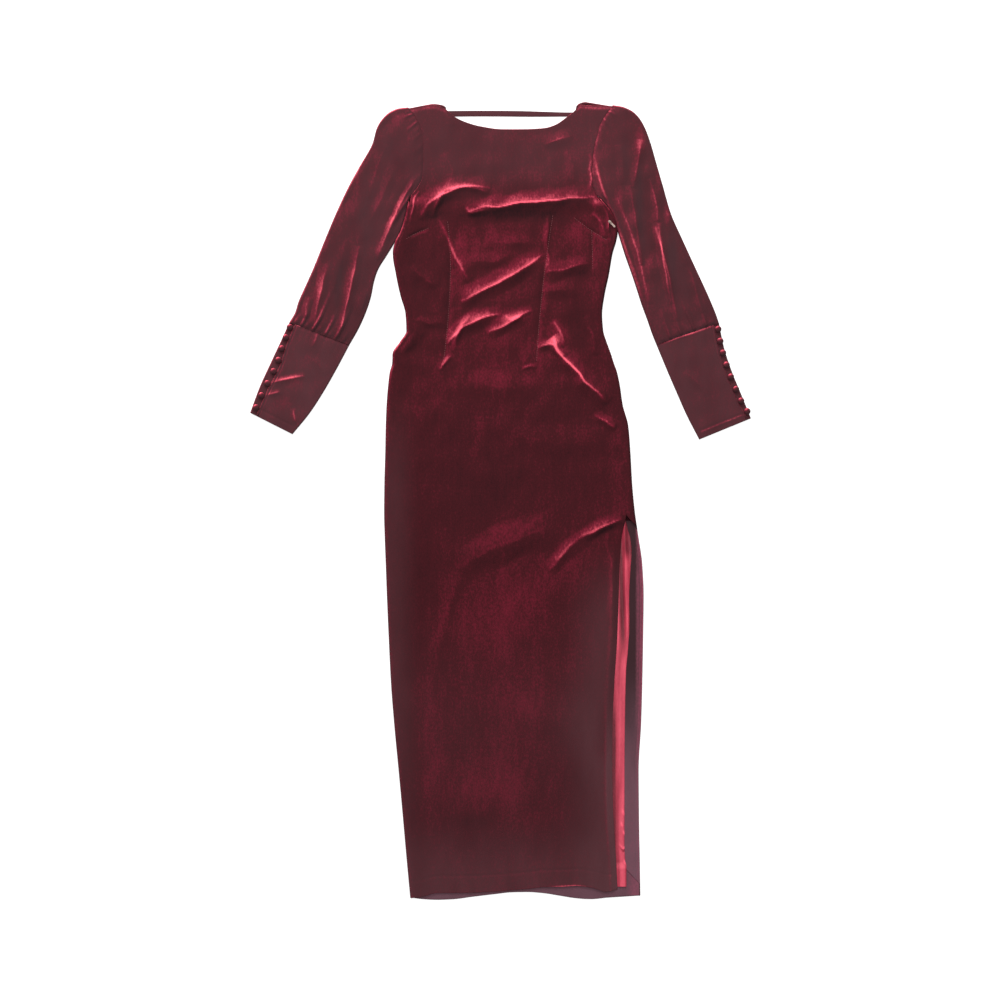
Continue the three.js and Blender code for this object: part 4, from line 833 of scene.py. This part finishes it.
def sleeve(name, side, sections, material):
    sign = -1 if side == "right" else 1
    upper_share = np.linspace(0, 1, 121)
    arc = np.linspace(0, math.pi, 9)[1:-1]
    lower_share = np.linspace(1, 0, 61)
    rings = []

    def ring(plan, outer_end, inner_end, roll, lift):
        upper, lower = plan(upper_share), plan(lower_share)
        turn_in = plan(np.ones(1)) + inner_end * np.sin(arc)[:, None]
        turn_out = plan(np.zeros(1)) + outer_end * np.sin(arc)[:, None]
        height = np.full(len(upper), FLOOR_Z + 2 * roll) + lift * np.sin(np.pi * upper_share) ** 0.7
        return np.concatenate([
            np.column_stack([upper, height]),
            np.column_stack([turn_in, FLOOR_Z + roll * (1 + np.cos(arc))]),
            np.column_stack([lower, np.full(len(lower), FLOOR_Z)]),
            np.column_stack([turn_out, FLOOR_Z + roll * (1 - np.cos(arc))]),
        ])

    def armhole(share):
        x = look(ARMHOLES, "place", side + "_x", share * 9) + sign * mix(0.6, 0.8, share**4)
        return np.column_stack([x, look(ARMHOLES, "place", side + "_y", share * 9)])

    rings.append(ring(armhole, np.array([sign * 1.3, 1.3]), np.array([sign * 1.4, -1.1]), LAYER_RISE / 2, 0))
    for k in range(len(sections.bow)):
        outer = np.array([sections.outer_x[k], sections.outer_y[k]])
        inner = np.array([sections.inner_x[k], sections.inner_y[k]])
        reach = np.linalg.norm(inner - outer)
        along = (inner - outer) / reach
        aside = np.array([-along[1], along[0]])
        if aside[0] * sign > 0:
            aside = -aside

        def chord(share, outer=outer, along=along, aside=aside, reach=reach, bow=sections.bow[k]):
            distance = mix(SLEEVE_ROLL, reach - SLEEVE_ROLL, share)[:, None]
            return outer + along * distance + aside * bow * (4 * share * (1 - share))[:, None]

        roll = SLEEVE_ROLL
        rings.append(ring(chord, -along * roll, along * roll, roll, sections.crown[k]))
    grid = catmull(np.array(rings), SLEEVE_STEPS)
    count = len(upper_share)
    place = (np.arange(len(grid)) / SLEEVE_STEPS)[:, None]
    share = upper_share[None, :]
    last = len(rings) - 1
    edges = smooth(np.minimum(share, 1 - share), 0, 0.06)
    x, y = grid[:, :count, 0], grid[:, :count, 1]
    puffs = gathers(HEAD_GATHERS, share, place) * smooth(place, -0.1, 0.25)
    puffs = puffs + gathers(CUFF_GATHERS, share, last - place) * smooth(last - place, -0.1, 0.2)
    creases, crests = fold_heights(SLEEVE_FOLDS, x, y)
    creases = creases * smooth(place, 0, 1)
    settle = (0.35 * SETTLED(x, y) + 0.35 * RUMPLED(x, y)) * smooth(np.minimum(place, last - place), 0, 0.8)
    grid[:, :count, 2] += edges * (puffs + creases + settle)
    # the seams at both ends are drawn in
    near = bell(place, 0.16) + bell(last - place, 0.16)
    grid[:, :count, 2] -= 0.7 * near * edges
    grid = outward(facing_out(grid, ring=True), VELVET / 2, ring=True)
    grid = turned(turned(grid, "top", ring=True), "bottom", ring=True)
    grid[:, :, 2] = np.maximum(grid[:, :, 2], LOWEST)
    # painted highlights along the sleeve's fold crests, and a painted greyish sheen
    return cloth_object(name, grid, material, ring=True, folds=((SLEEVE_FOLDS, 0.2),), painted_sheen=0.32)


def cuff_section(sections, share):
    at = lambda column: look(sections, "place", column, share)
    outer = np.stack([at("outer_x"), at("outer_y")], -1)
    along = np.stack([at("inner_x"), at("inner_y")], -1) - outer
    width = np.linalg.norm(along, axis=-1, keepdims=True)
    return outer, along / width, width, np.asarray(at("lap"))[..., None]


def cuff(name, sections, material):
    """One wall round the wrist, from the hidden underlap to the buttoned edge over it."""
    under = FLOOR_Z + 2 * CUFF_OUTER_ROLL
    upper = FLOOR_Z + 2 * CUFF_INNER_ROLL
    rows = np.linspace(0, 1, 100)
    outer, along, width, lap = cuff_section(sections, rows)
    steps = lambda count: np.linspace(0, 1, count, endpoint=False)[None, :]
    half_turn = np.linspace(-90, 90, 9)[None, :-1] * math.pi / 180
    inside = lap + CUFF_UNDERLAP
    turn_in, turn_out = 1 - np.cos(half_turn), 1 + np.sin(half_turn)
    top = steps(CUFF_TOP_STEPS)
    climb = mix(upper, under + CUFF_LIFT, smooth(top, 0.05, 0.8)) + 0.25 * np.sin(math.pi * top)
    parts = (
        (mix(inside, CUFF_OUTER_ROLL, steps(12)), under),
        (CUFF_OUTER_ROLL * turn_in, FLOOR_Z + CUFF_OUTER_ROLL * (1 - np.sin(half_turn))),
        (mix(CUFF_OUTER_ROLL, width - CUFF_INNER_ROLL, steps(36)), FLOOR_Z),
        (width - CUFF_INNER_ROLL * turn_in, FLOOR_Z + CUFF_INNER_ROLL * turn_out),
        (mix(width - CUFF_INNER_ROLL, inside, top), climb),
        (mix(inside, lap, across(CUFF_LAP_STEPS)), under + CUFF_LIFT),
    )
    parts = [np.broadcast_arrays(part + 0 * width, level + 0 * width) for part, level in parts]
    distance = np.concatenate([part for part, _ in parts], 1)
    z = np.concatenate([level for _, level in parts], 1)
    x = outer[:, :1] + along[:, :1] * distance
    y = outer[:, 1:] + along[:, 1:] * distance
    columns = distance.shape[1]
    on_top = np.arange(columns)[None, :] >= columns - CUFF_TOP_STEPS - CUFF_LAP_STEPS
    quiet = smooth(distance, 4, 20) * smooth(width - distance, 2, 14)
    wear = 0.3 * RUMPLED(x, y) + fold_heights(CUFF_FOLDS, x, y)[0]
    place = rows[:, None]
    wear = wear + gathers(CUFF_GATHERS, 1 - np.clip(distance / width, 0, 1), 9 * place) * -0.12
    wear = wear - 0.5 * bell(place - 0.93, 0.012) - 0.5 * bell(place, 0.02)
    z = z + on_top * quiet * wear
    # the edge that buttons over is stitched just inside its fold
    z = z - on_top * 0.45 * bell(distance - lap - 3.2, 1.0)
    grid = outward(facing_out(np.stack([x, y, z], 2)), VELVET / 2)
    grid = turned(turned(grid, "top"), "bottom", 0.7, 9)
    grid = turned(turned(grid, "first"), "last")
    grid[:, :, 2] = np.maximum(grid[:, :, 2], LOWEST)
    # painted highlights along the cuff's fold crests, and a painted greyish sheen
    return cloth_object(name, grid, material, folds=((CUFF_FOLDS, 0.4),), painted_sheen=0.5)


def button_places(sections):
    """Each button's centre, and the directions away from and along the buttoned edge."""
    def lap_point(share):
        outer, along, _, lap = cuff_section(sections, np.array([share]))
        return (outer + along * lap)[0]

    places = []
    for share in np.linspace(*BUTTON_SPAN, BUTTON.count):
        tangent = lap_point(share + 0.02) - lap_point(share - 0.02)
        tangent /= np.linalg.norm(tangent)
        away = np.array([-tangent[1], tangent[0]])
        if away @ cuff_section(sections, np.array([share]))[1][0] > 0:
            away = -away
        places.append((lap_point(share) + away * BUTTON.from_lap, away, tangent))
    return places


def button(name, centre, seed, material):
    """A covered button: a domed cap with its cloth gathered under the rim, on a short shank."""
    draw = np.random.default_rng(seed)
    radius, height, neck, rim = (BUTTON[size] for size in ("radius", "height", "neck", "rim"))
    dome = ((0.22, 0.06), (0.45, 0.35), (0.68, 0.95), (0.85, 1.8), (0.96, 2.8), (1, 3.7), (0.96, 4.4))
    profile = [(0.01, height)] + [(share * radius, height - down) for share, down in dome]
    profile += [(0.8 * radius, rim + 0.1), (0.55 * radius, rim), (neck, rim - 0.2)]
    profile += [(0.9 * neck, 0.6), (neck, 0.0)]
    angle = np.linspace(0, math.tau, 41)[:-1]
    lean = draw.uniform(-0.05, 0.05, 2)
    rings = []
    for r, z in profile:
        gathered = z < height - 3 and r > neck + 1
        pinch = 1 + 0.02 * gathered * np.cos(9 * angle + seed)
        x = centre[0] + r * pinch * np.cos(angle) + lean[0] * z
        y = centre[1] + r * pinch * np.sin(angle) + lean[1] * z
        rings.append(np.column_stack([x, y, np.full(len(angle), BUTTON_BASE + z)]))
    return cloth_object(name, np.array(rings), material, ring=True, shade=-0.06, painted_sheen=0.3)


def tube(path, radius, sides=8):
    """Points of a thin round cord along a path, its ends drawn to a point."""
    path = np.array(path)
    tangent = np.gradient(path, axis=0)
    tangent /= np.linalg.norm(tangent, axis=1, keepdims=True)
    side = np.cross(tangent, [0, 0, 1])
    side /= np.linalg.norm(side, axis=1, keepdims=True)
    up = np.cross(side, tangent)
    angle = np.linspace(0, math.tau, sides + 1)[:-1]
    size = np.full(len(path), radius)
    size[[0, -1]] = 0.02
    offset = side[:, None] * np.cos(angle)[None, :, None] + up[:, None] * np.sin(angle)[None, :, None]
    return path[:, None] + offset * size[:, None, None]


def join(name, pieces):
    """One object from several, the first one's material kept."""
    bpy.ops.object.select_all(action="DESELECT")
    for piece in pieces:
        piece.select_set(True)
    bpy.context.view_layer.objects.active = pieces[0]
    bpy.ops.object.join()
    pieces[0].name = name
    return pieces[0]


def button_loops(name, sections, material):
    """The corded loops from the buttoned edge round each button, and the cord along that edge."""
    outer, along, _, lap = cuff_section(sections, np.linspace(0.01, 0.99, 60))
    routes = [outer + along * (lap - 1.1)]
    back = BUTTON.from_lap - 1.2
    half_turn = np.radians(np.linspace(-90, 90, 17))[:, None]
    arms = np.array([[back, 0.75], [0.5 * back, 0.95]])
    for centre, away, tangent in button_places(sections):
        start = centre - away * arms[:, :1] - tangent * LOOP_RADIUS * arms[:, 1:]
        bend = centre + away * LOOP_RADIUS * np.cos(half_turn) + tangent * LOOP_RADIUS * np.sin(half_turn)
        end = centre - away * arms[::-1, :1] + tangent * LOOP_RADIUS * arms[::-1, 1:]
        routes.append(np.concatenate([start, bend, end]))
    pieces = []
    for route in routes:
        path = np.column_stack([route, np.full(len(route), BUTTON_BASE + CORD_RADIUS)])
        pieces.append(cloth_object(name, tube(path, CORD_RADIUS), material, ring=True, shade=0.15))
    return join(name, pieces)


def crest_route(folds, k, apart):
    """Points along one crest at even distances."""
    _, x, y = crest_points(folds, k, np.linspace(0, 1, 200))
    length = np.concatenate([[0], np.cumsum(np.hypot(np.diff(x), np.diff(y)))])
    places = np.arange(0, length[-1], apart)
    return np.column_stack([np.interp(places, length, x), np.interp(places, length, y)])


def stitches(name, routes, carrier, material):
    """Rows of small sewn stitches, laid on the piece that carries them."""
    mesh = carrier.data
    tree = BVHTree.FromPolygons([v.co for v in mesh.vertices], [p.vertices for p in mesh.polygons])
    verts, faces = [], []
    half, wide, high = STITCH.long / 2, STITCH.wide / 2, STITCH.high
    for route in routes:
        heading = np.gradient(route, axis=0)
        heading /= np.linalg.norm(heading, axis=1, keepdims=True)
        for (x, y), (dx, dy) in zip(route, heading):
            hit, normal, _, _ = tree.ray_cast(Vector((x * MM, y * MM, 1)), Vector((0, 0, -1)))
            if hit is None:
                continue
            along = Vector((dx, dy, -(normal.x * dx + normal.y * dy) / max(normal.z, 0.2)))
            along.normalize()
            aside = normal.cross(along)
            first = len(verts)
            for out in (-1, -0.6, 0.6, 1):
                for side, lift in ((-1, -0.1), (-0.7, high), (0.7, high), (1, -0.1)):
                    tip = 1 if abs(out) < 1 else 0.4
                    raised = lift if abs(out) < 1 else min(lift, 0.05)
                    offset = along * out * half + aside * side * wide * tip + normal * raised
                    verts.append(hit + offset * MM)
            for i in range(3):
                for j in range(3):
                    a = first + 4 * i + j
                    faces.append((a, a + 4, a + 5, a + 1))
    piece = in_scene(name, smooth_mesh(name, verts, faces, material))
    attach(piece, "dress")
    return piece


def facing_start(rows):
    edge = look(FACING_EDGE, "y", "x", rows.nominal_y) - rows.fold_x
    return np.minimum(edge, left_begin(rows) - 1)


def some_rows(low, high):
    """The body's rows whose y lies between two heights."""
    keep = (ROWS["nominal_y"][:, 0] > low) & (ROWS["nominal_y"][:, 0] < high)
    return Table((name, column[keep]) for name, column in ROWS.items())


def finer(rows, count):
    """The same rows, with more of them between."""
    at = np.linspace(0, len(rows.nominal_y) - 1, count)
    steps = np.arange(len(rows.nominal_y))
    return Table((name, np.interp(at, steps, column[:, 0])[:, None]) for name, column in rows.items())


def lining_strip(material):
    rows = finer(some_rows(LINING.bottom, LINING.top), 400)
    y = rows.nominal_y
    start = look(BODY, "y", "seam", y) - LINING.under_front
    stop = rows.fold_x + facing_start(rows) + 0.6
    share = across(44)
    x = mix(start, stop, share)
    upper = smooth(y, LINING.fold_end, LINING.fold_end + 60)
    from_fold = x - LINING.fold_x - (1.6 * np.sin(y / 47) + 0.8 * np.sin(y / 19 + 1))
    z = LINING_Z + LIGHT_CLOTH / 2 + upper * (2.9 * bell(from_fold, 3.4) - 0.6 * bell(from_fold + 8, 3.6))
    ripple = 0.35 * np.sin((x - 0.12 * y) / 4.1 + 1.5 * np.sin(y / 60)) * smooth(share, 0, 0.15)
    z = z + 1.5 * smooth(-y, 650, 664) * smooth(x - look(BODY, "y", "seam", y), 0.5, 3)
    z = z + 0.4 * ripple + 0.9 * glints(x, y) + 0.1 * RUMPLED(x, y) - 0.7 * bell(x - stop, 1.2)
    grid = np.stack([x, y + 0 * x, z], 2)
    grid = turned(turned(grid, "top", 0.4, 1), "bottom", 0.4, 1)
    grid = turned(grid, "last", 0.4, 0.6)
    return cloth_object("lining_satin", grid, material, shade=satin_shade)


def mitre_y(x):
    share = np.clip((x - MITRE.inner_x) / (MITRE.outer_x - MITRE.inner_x), 0, 1)
    return mix(MITRE.inner_y, MITRE.outer_y, share)


def slit_facing(material):
    rows = some_rows(MITRE.inner_y - 28, SLIT_TOP - 13)
    lift = LINING_Z - FLOOR_Z + LIGHT_CLOTH / 2
    end = rows.back_stop - 0.6
    along = mix(facing_start(rows), end, across(30))
    x, z, _ = over_left(rows, along, lift)
    y = np.maximum(rows.nominal_y + 0 * x, mitre_y(x) + MITRE_GAP)
    z = z + 0.12 * RUMPLED(x, y) - 0.35 * bell(along - end + 5, 1.0)
    grid = np.stack([x, y, z], 2)
    grid = turned(turned(grid, "first", 0.6, 0.8), "last", 0.8, 0.6)
    return cloth_object("slit_facing_velvet", grid, material, shade=facing_shade, painted_sheen=facing_painted_sheen)


def hem_facing(material):
    share = across(150)
    depth = np.linspace(1, 0, 22)[:, None]
    turned_up = HEM_INSET + HEM_FACING.depth * depth
    down = MITRE.inner_y - MITRE_GAP - (look(HEMS, "x", "back", 245) + turned_up)
    slope = (MITRE.outer_x - MITRE.inner_x) / (MITRE.inner_y - MITRE.outer_y)
    end = np.clip(MITRE.inner_x + down * slope, MITRE.inner_x, MITRE.outer_x - 0.6)
    x = mix(HEM_FACING.start_x, end, share)
    y = np.minimum(look(HEMS, "x", "back", x) + turned_up, mitre_y(x) - MITRE_GAP)
    z = LINING_Z + LIGHT_CLOTH / 2 + 0.12 * RUMPLED(x, y)
    grid = turned(turned(np.stack([x, y, z], 2), "top", 0.6, 0.8), "bottom", 0.9, 0.6)
    return cloth_object("hem_facing_velvet", grid, material, shade=hem_shade)


class Paint:
    """A material whose nodes are added by short calls."""

    def __init__(self, name):
        self.material = bpy.data.materials.new(name)
        self.material.use_nodes = True
        self.tree = self.material.node_tree

    def feed(self, socket, value):
        """A constant for the socket, or a link to it from another node's output."""
        if isinstance(value, bpy.types.NodeSocket):
            self.tree.links.new(value, socket)
        else:
            socket.default_value = value

    def add(self, kind, **values):
        node = self.tree.nodes.new(kind)
        for key, value in values.items():
            if key in node.inputs:
                self.feed(node.inputs[key], value)
            else:
                setattr(node, key, value)
        return node

    def attribute(self, name):
        return self.add("ShaderNodeAttribute", attribute_name=name).outputs["Fac"]

    def noise(self, scale, detail=2.0, stretch=(1, 1, 1), roughness=0.5):
        """Noise in the object's own coordinates."""
        where = self.add("ShaderNodeTexCoord").outputs["Object"]
        moved = self.add("ShaderNodeMapping", Scale=stretch, Vector=where).outputs["Vector"]
        values = {"Scale": scale, "Detail": detail, "Roughness": roughness, "Vector": moved}
        return self.add("ShaderNodeTexNoise", **values).outputs["Fac"]

    def math(self, operation, a, b):
        node = self.add("ShaderNodeMath", operation=operation)
        self.feed(node.inputs[0], a)
        self.feed(node.inputs[1], b)
        return node.outputs[0]

    def uneven(self, tone, middle, sources):
        """The tone with each source added to it, less its middle value, at its own weight."""
        for source, weight in sources:
            centred = self.math("SUBTRACT", source, middle)
            tone = self.math("ADD", tone, self.math("MULTIPLY", centred, weight))
        return tone

    def ramp(self, fac, stops):
        """Colours between stops of a position and a colour."""
        node = self.add("ShaderNodeValToRGB", Fac=fac)
        elements = node.color_ramp.elements
        for k in (0, 1):
            elements[k].position, elements[k].color = stops[-k][0], (*stops[-k][1], 1)
        for position, color in stops[1:-1]:
            elements.new(position).color = (*color, 1)
        return node.outputs["Color"]

    def bump(self, height, strength, distance):
        values = {"Strength": strength, "Distance": distance, "Height": height}
        return self.add("ShaderNodeBump", **values).outputs["Normal"]

    def finish(self, values):
        """The material, once the shader's own inputs have their constants and links."""
        for name, value in values.items():
            self.feed(self.tree.nodes["Principled BSDF"].inputs[name], value)
        return self.material


def velvet(name, dark, mid, warm, bright, grey):
    """Pile velvet: its colour runs from painted shade to painted highlights with the painted light on its
    points, with random tone, mixed towards grey by a painted sheen.
    """
    paint = Paint(name)
    broad = paint.noise(4.0, 2.0, (1.0, 0.5, 1.0))
    patches = paint.noise(20.0, 4.0, (1.0, 0.35, 1.0), 0.6)
    strokes = paint.noise(130.0, 3.0, (1.0, 0.22, 1.0), 0.65)
    flecks = paint.noise(340.0, 2.0, (1.0, 0.6, 1.0))
    grain = paint.noise(1000.0)
    sources = ((broad, 0.12), (patches, 0.15), (strokes, 0.2), (flecks, 0.3), (grain, 0.2))
    # painted light and shade from the points, with random tone from the noise
    painted_light_and_tone = paint.uneven(paint.attribute("painted_light"), 0.5, sources)
    between = [mix(p, q, 0.4) for p, q in zip(warm, bright)]
    color = paint.ramp(painted_light_and_tone, [(0.1, dark), (0.42, mid), (0.6, warm), (0.8, between), (1.0, bright)])
    # painted greyish sheen, uneven in patches and weaker where the painted light is brighter
    painted_sheen = paint.math("MULTIPLY", paint.attribute("painted_sheen"), paint.math("ADD", patches, 0.5))
    painted_sheen = paint.math("MULTIPLY", painted_sheen, paint.math("SUBTRACT", 1.35, painted_light_and_tone))
    blend = paint.add("ShaderNodeMix", data_type="RGBA", Factor=painted_sheen, A=color, B=(*grey, 1))
    height = paint.math("ADD", grain, paint.math("MULTIPLY", strokes, 0.8))
    return paint.finish({
        "Base Color": blend.outputs["Result"],
        "Normal": paint.bump(height, 0.35, 0.0006),
        "Roughness": 0.8,
        "Specular IOR Level": 0.1,
        "Sheen Weight": 0.045,
        "Sheen Roughness": 0.35,
        "Sheen Tint": (1.0, 0.35, 0.45, 1),
    })


def satin(name):
    """Glossy lining cloth, its threads across the strip; its colour runs from dark to bright with the painted
    light and shade on its points.
    """
    paint = Paint(name)
    broad = paint.noise(14.0, 3.0, (1.0, 0.5, 1.0))
    threads = paint.noise(900.0, 2.0, (1.0, 0.12, 1.0))
    tone = paint.uneven(paint.attribute("painted_light"), 0.4, ((broad, 0.4), (threads, 0.25)))
    stops = [(0.05, (0.12, 0.009, 0.018)), (0.45, (0.42, 0.035, 0.065)), (0.95, (0.9, 0.11, 0.175))]
    return paint.finish({
        "Base Color": paint.ramp(tone, stops),
        "Normal": paint.bump(threads, 0.25, 0.0003),
        "Roughness": 0.36,
        "Specular IOR Level": 0.22,
        "Sheen Weight": 0.03,
        "Sheen Tint": (1.0, 0.4, 0.45, 1),
    })


def thread(name):
    """Matt sewing thread, its twist in the bump."""
    paint = Paint(name)
    twist = paint.noise(1500.0, 1.0)
    return paint.finish({
        "Base Color": paint.ramp(twist, [(0.3, (0.1, 0.02, 0.024)), (0.7, (0.22, 0.05, 0.056))]),
        "Normal": paint.bump(twist, 0.4, 0.0002),
        "Roughness": 0.6,
    })


def pale_metal(name):
    """Worn pale enamel over metal, its colour darkened as painted shade."""
    paint = Paint(name)
    worn = paint.noise(700.0, 3.0)
    rough = paint.add("ShaderNodeMapRange", **{"Value": worn, "To Min": 0.25, "To Max": 0.5})
    return paint.finish({
        "Base Color": paint.ramp(worn, [(0.3, (0.2, 0.14, 0.12)), (0.6, (0.36, 0.27, 0.23))]),
        "Roughness": rough.outputs["Result"],
        "Metallic": 0.35,
    })


def camera():
    """Straight above the middle of the dress, so that the wanted width of the floor fills the frame."""
    data = bpy.data.cameras.new("camera")
    data.lens, data.sensor_width = LENS, SENSOR
    data.clip_end = 50
    item = in_scene("camera", data)
    item.location = (0, 0, LENS / SENSOR * FRAMED_WIDTH)
    bpy.context.scene.camera = item


def area_light(name, position, size, power):
    """A rectangular light that points at the middle of the dress."""
    data = bpy.data.lights.new(name, "AREA")
    data.shape = "RECTANGLE"
    data.size, data.size_y = size
    data.energy = power
    item = in_scene(name, data)
    item.location = position
    x, y, z = position
    item.rotation_euler = (math.atan2(np.hypot(x, y), z), 0, math.atan2(x, -y))


def floor():
    mesh = bpy.data.meshes.new("floor")
    corners = [(-1, -1, 0), (1, -1, 0), (1, 1, 0), (-1, 1, 0)]
    mesh.from_pydata([(x * FLOOR_HALF, y * FLOOR_HALF, z) for x, y, z in corners], [], [(0, 1, 2, 3)])
    mesh.materials.append(Paint("pale_floor").finish({
        "Base Color": (0.5, 0.5, 0.5, 1),
        "Roughness": 0.9,
        "Specular IOR Level": 0.1,
        "Emission Color": (1, 1, 1, 1),
        "Emission Strength": 0.75,
    }))
    item = in_scene("floor", mesh)
    item.location = (0, 0, -0.0004)


def world():
    item = bpy.data.worlds.new("studio")
    bpy.context.scene.world = item
    item.use_nodes = True
    background = item.node_tree.nodes["Background"].inputs
    background["Color"].default_value = (1, 1, 1, 1)
    background["Strength"].default_value = 0.45


camera()
floor()
world()
area_light("key", (-0.5, 2.6, 1.5), (2.4, 1.2), 95)
area_light("overhead", (0.0, 0.6, 3.6), (3.0, 3.0), 55)
bpy.context.scene.view_settings.view_transform = "Standard"

# The pile's colours from painted shade in its depths to its painted highlights, and the grey of its painted
# sheen
PILE = ((0.016, 0.0035, 0.005), (0.05, 0.005, 0.0085), (0.135, 0.0075, 0.02), (1.0, 0.13, 0.19),
        (0.095, 0.034, 0.041))
PRESSED_PILE = ((0.03, 0.011, 0.013), (0.11, 0.032, 0.046), (0.2, 0.042, 0.072), (0.5, 0.14, 0.2),
                (0.17, 0.085, 0.11))
pile = velvet("burgundy_velvet", *PILE)
pressed = velvet("pressed_velvet", *PRESSED_PILE)
red_satin = satin("red_satin")
pull_metal = pale_metal("pull_metal")


def place(piece, node, slot, held=None, flat=None, area=None, rests_on=()):
    """What a piece rides on and the part that it replaces; its slot and flat size have no effect."""
    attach(piece, "dress")
    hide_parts(node)
    if flat:
        list(rests_on)


front = front_panel(pile)
place(front, "front", "velvet", "laid", (0.49, 1.43), 0.6, ["back"])
dart_routes = [crest_route(FRONT_DARTS, k, STITCH.apart) for k in range(len(FRONT_DARTS.x1))]
stitches("dart_stitches", dart_routes, front, thread("sewing_thread"))
place(back_panel(pile), "back", "velvet", "laid", (0.52, 1.44), 0.58)
place(neck_strap(pile), "neck_strap", "velvet", "laid", (0.0115, 0.235))
for side, sections in (("right", SLEEVE_RIGHT), ("left", SLEEVE_LEFT)):
    arm = sleeve(f"sleeve_{side}_velvet", side, sections, pile)
    place(arm, f"sleeve_{side}", "velvet", "gathered", (0.36, 0.47), 0.12)
for side, sections in (("right", CUFF_RIGHT), ("left", CUFF_LEFT)):
    wrist = cuff(f"cuff_{side}_velvet", sections, pile)
    place(wrist, f"cuff_{side}", "velvet", "folded", (0.25, 0.19), 0.045)
    for number, (centre, _, _) in enumerate(button_places(sections), 1):
        node = f"button_{side}_{number}"
        place(button(node + "_velvet", centre, number + 10 * (side == "left"), pile), node, "velvet")
    loops = button_loops(f"button_loops_{side}_cord", sections, pile)
    place(loops, f"button_loops_{side}", "velvet")
place(lining_strip(red_satin), "lining", "satin", "laid", (0.05, 0.65), None, ["back"])
place(slit_facing(pressed), "slit_facing", "facing", "laid", (0.035, 0.64), None, ["back"])
place(hem_facing(pressed), "hem_facing", "facing", "laid", (0.4, 0.047), None, ["back"])
for node in ("zip_slider", "zip_pull"):
    solid = frame["nodes"][node]
    solid.data.materials.clear()
    solid.data.materials.append(pull_metal)
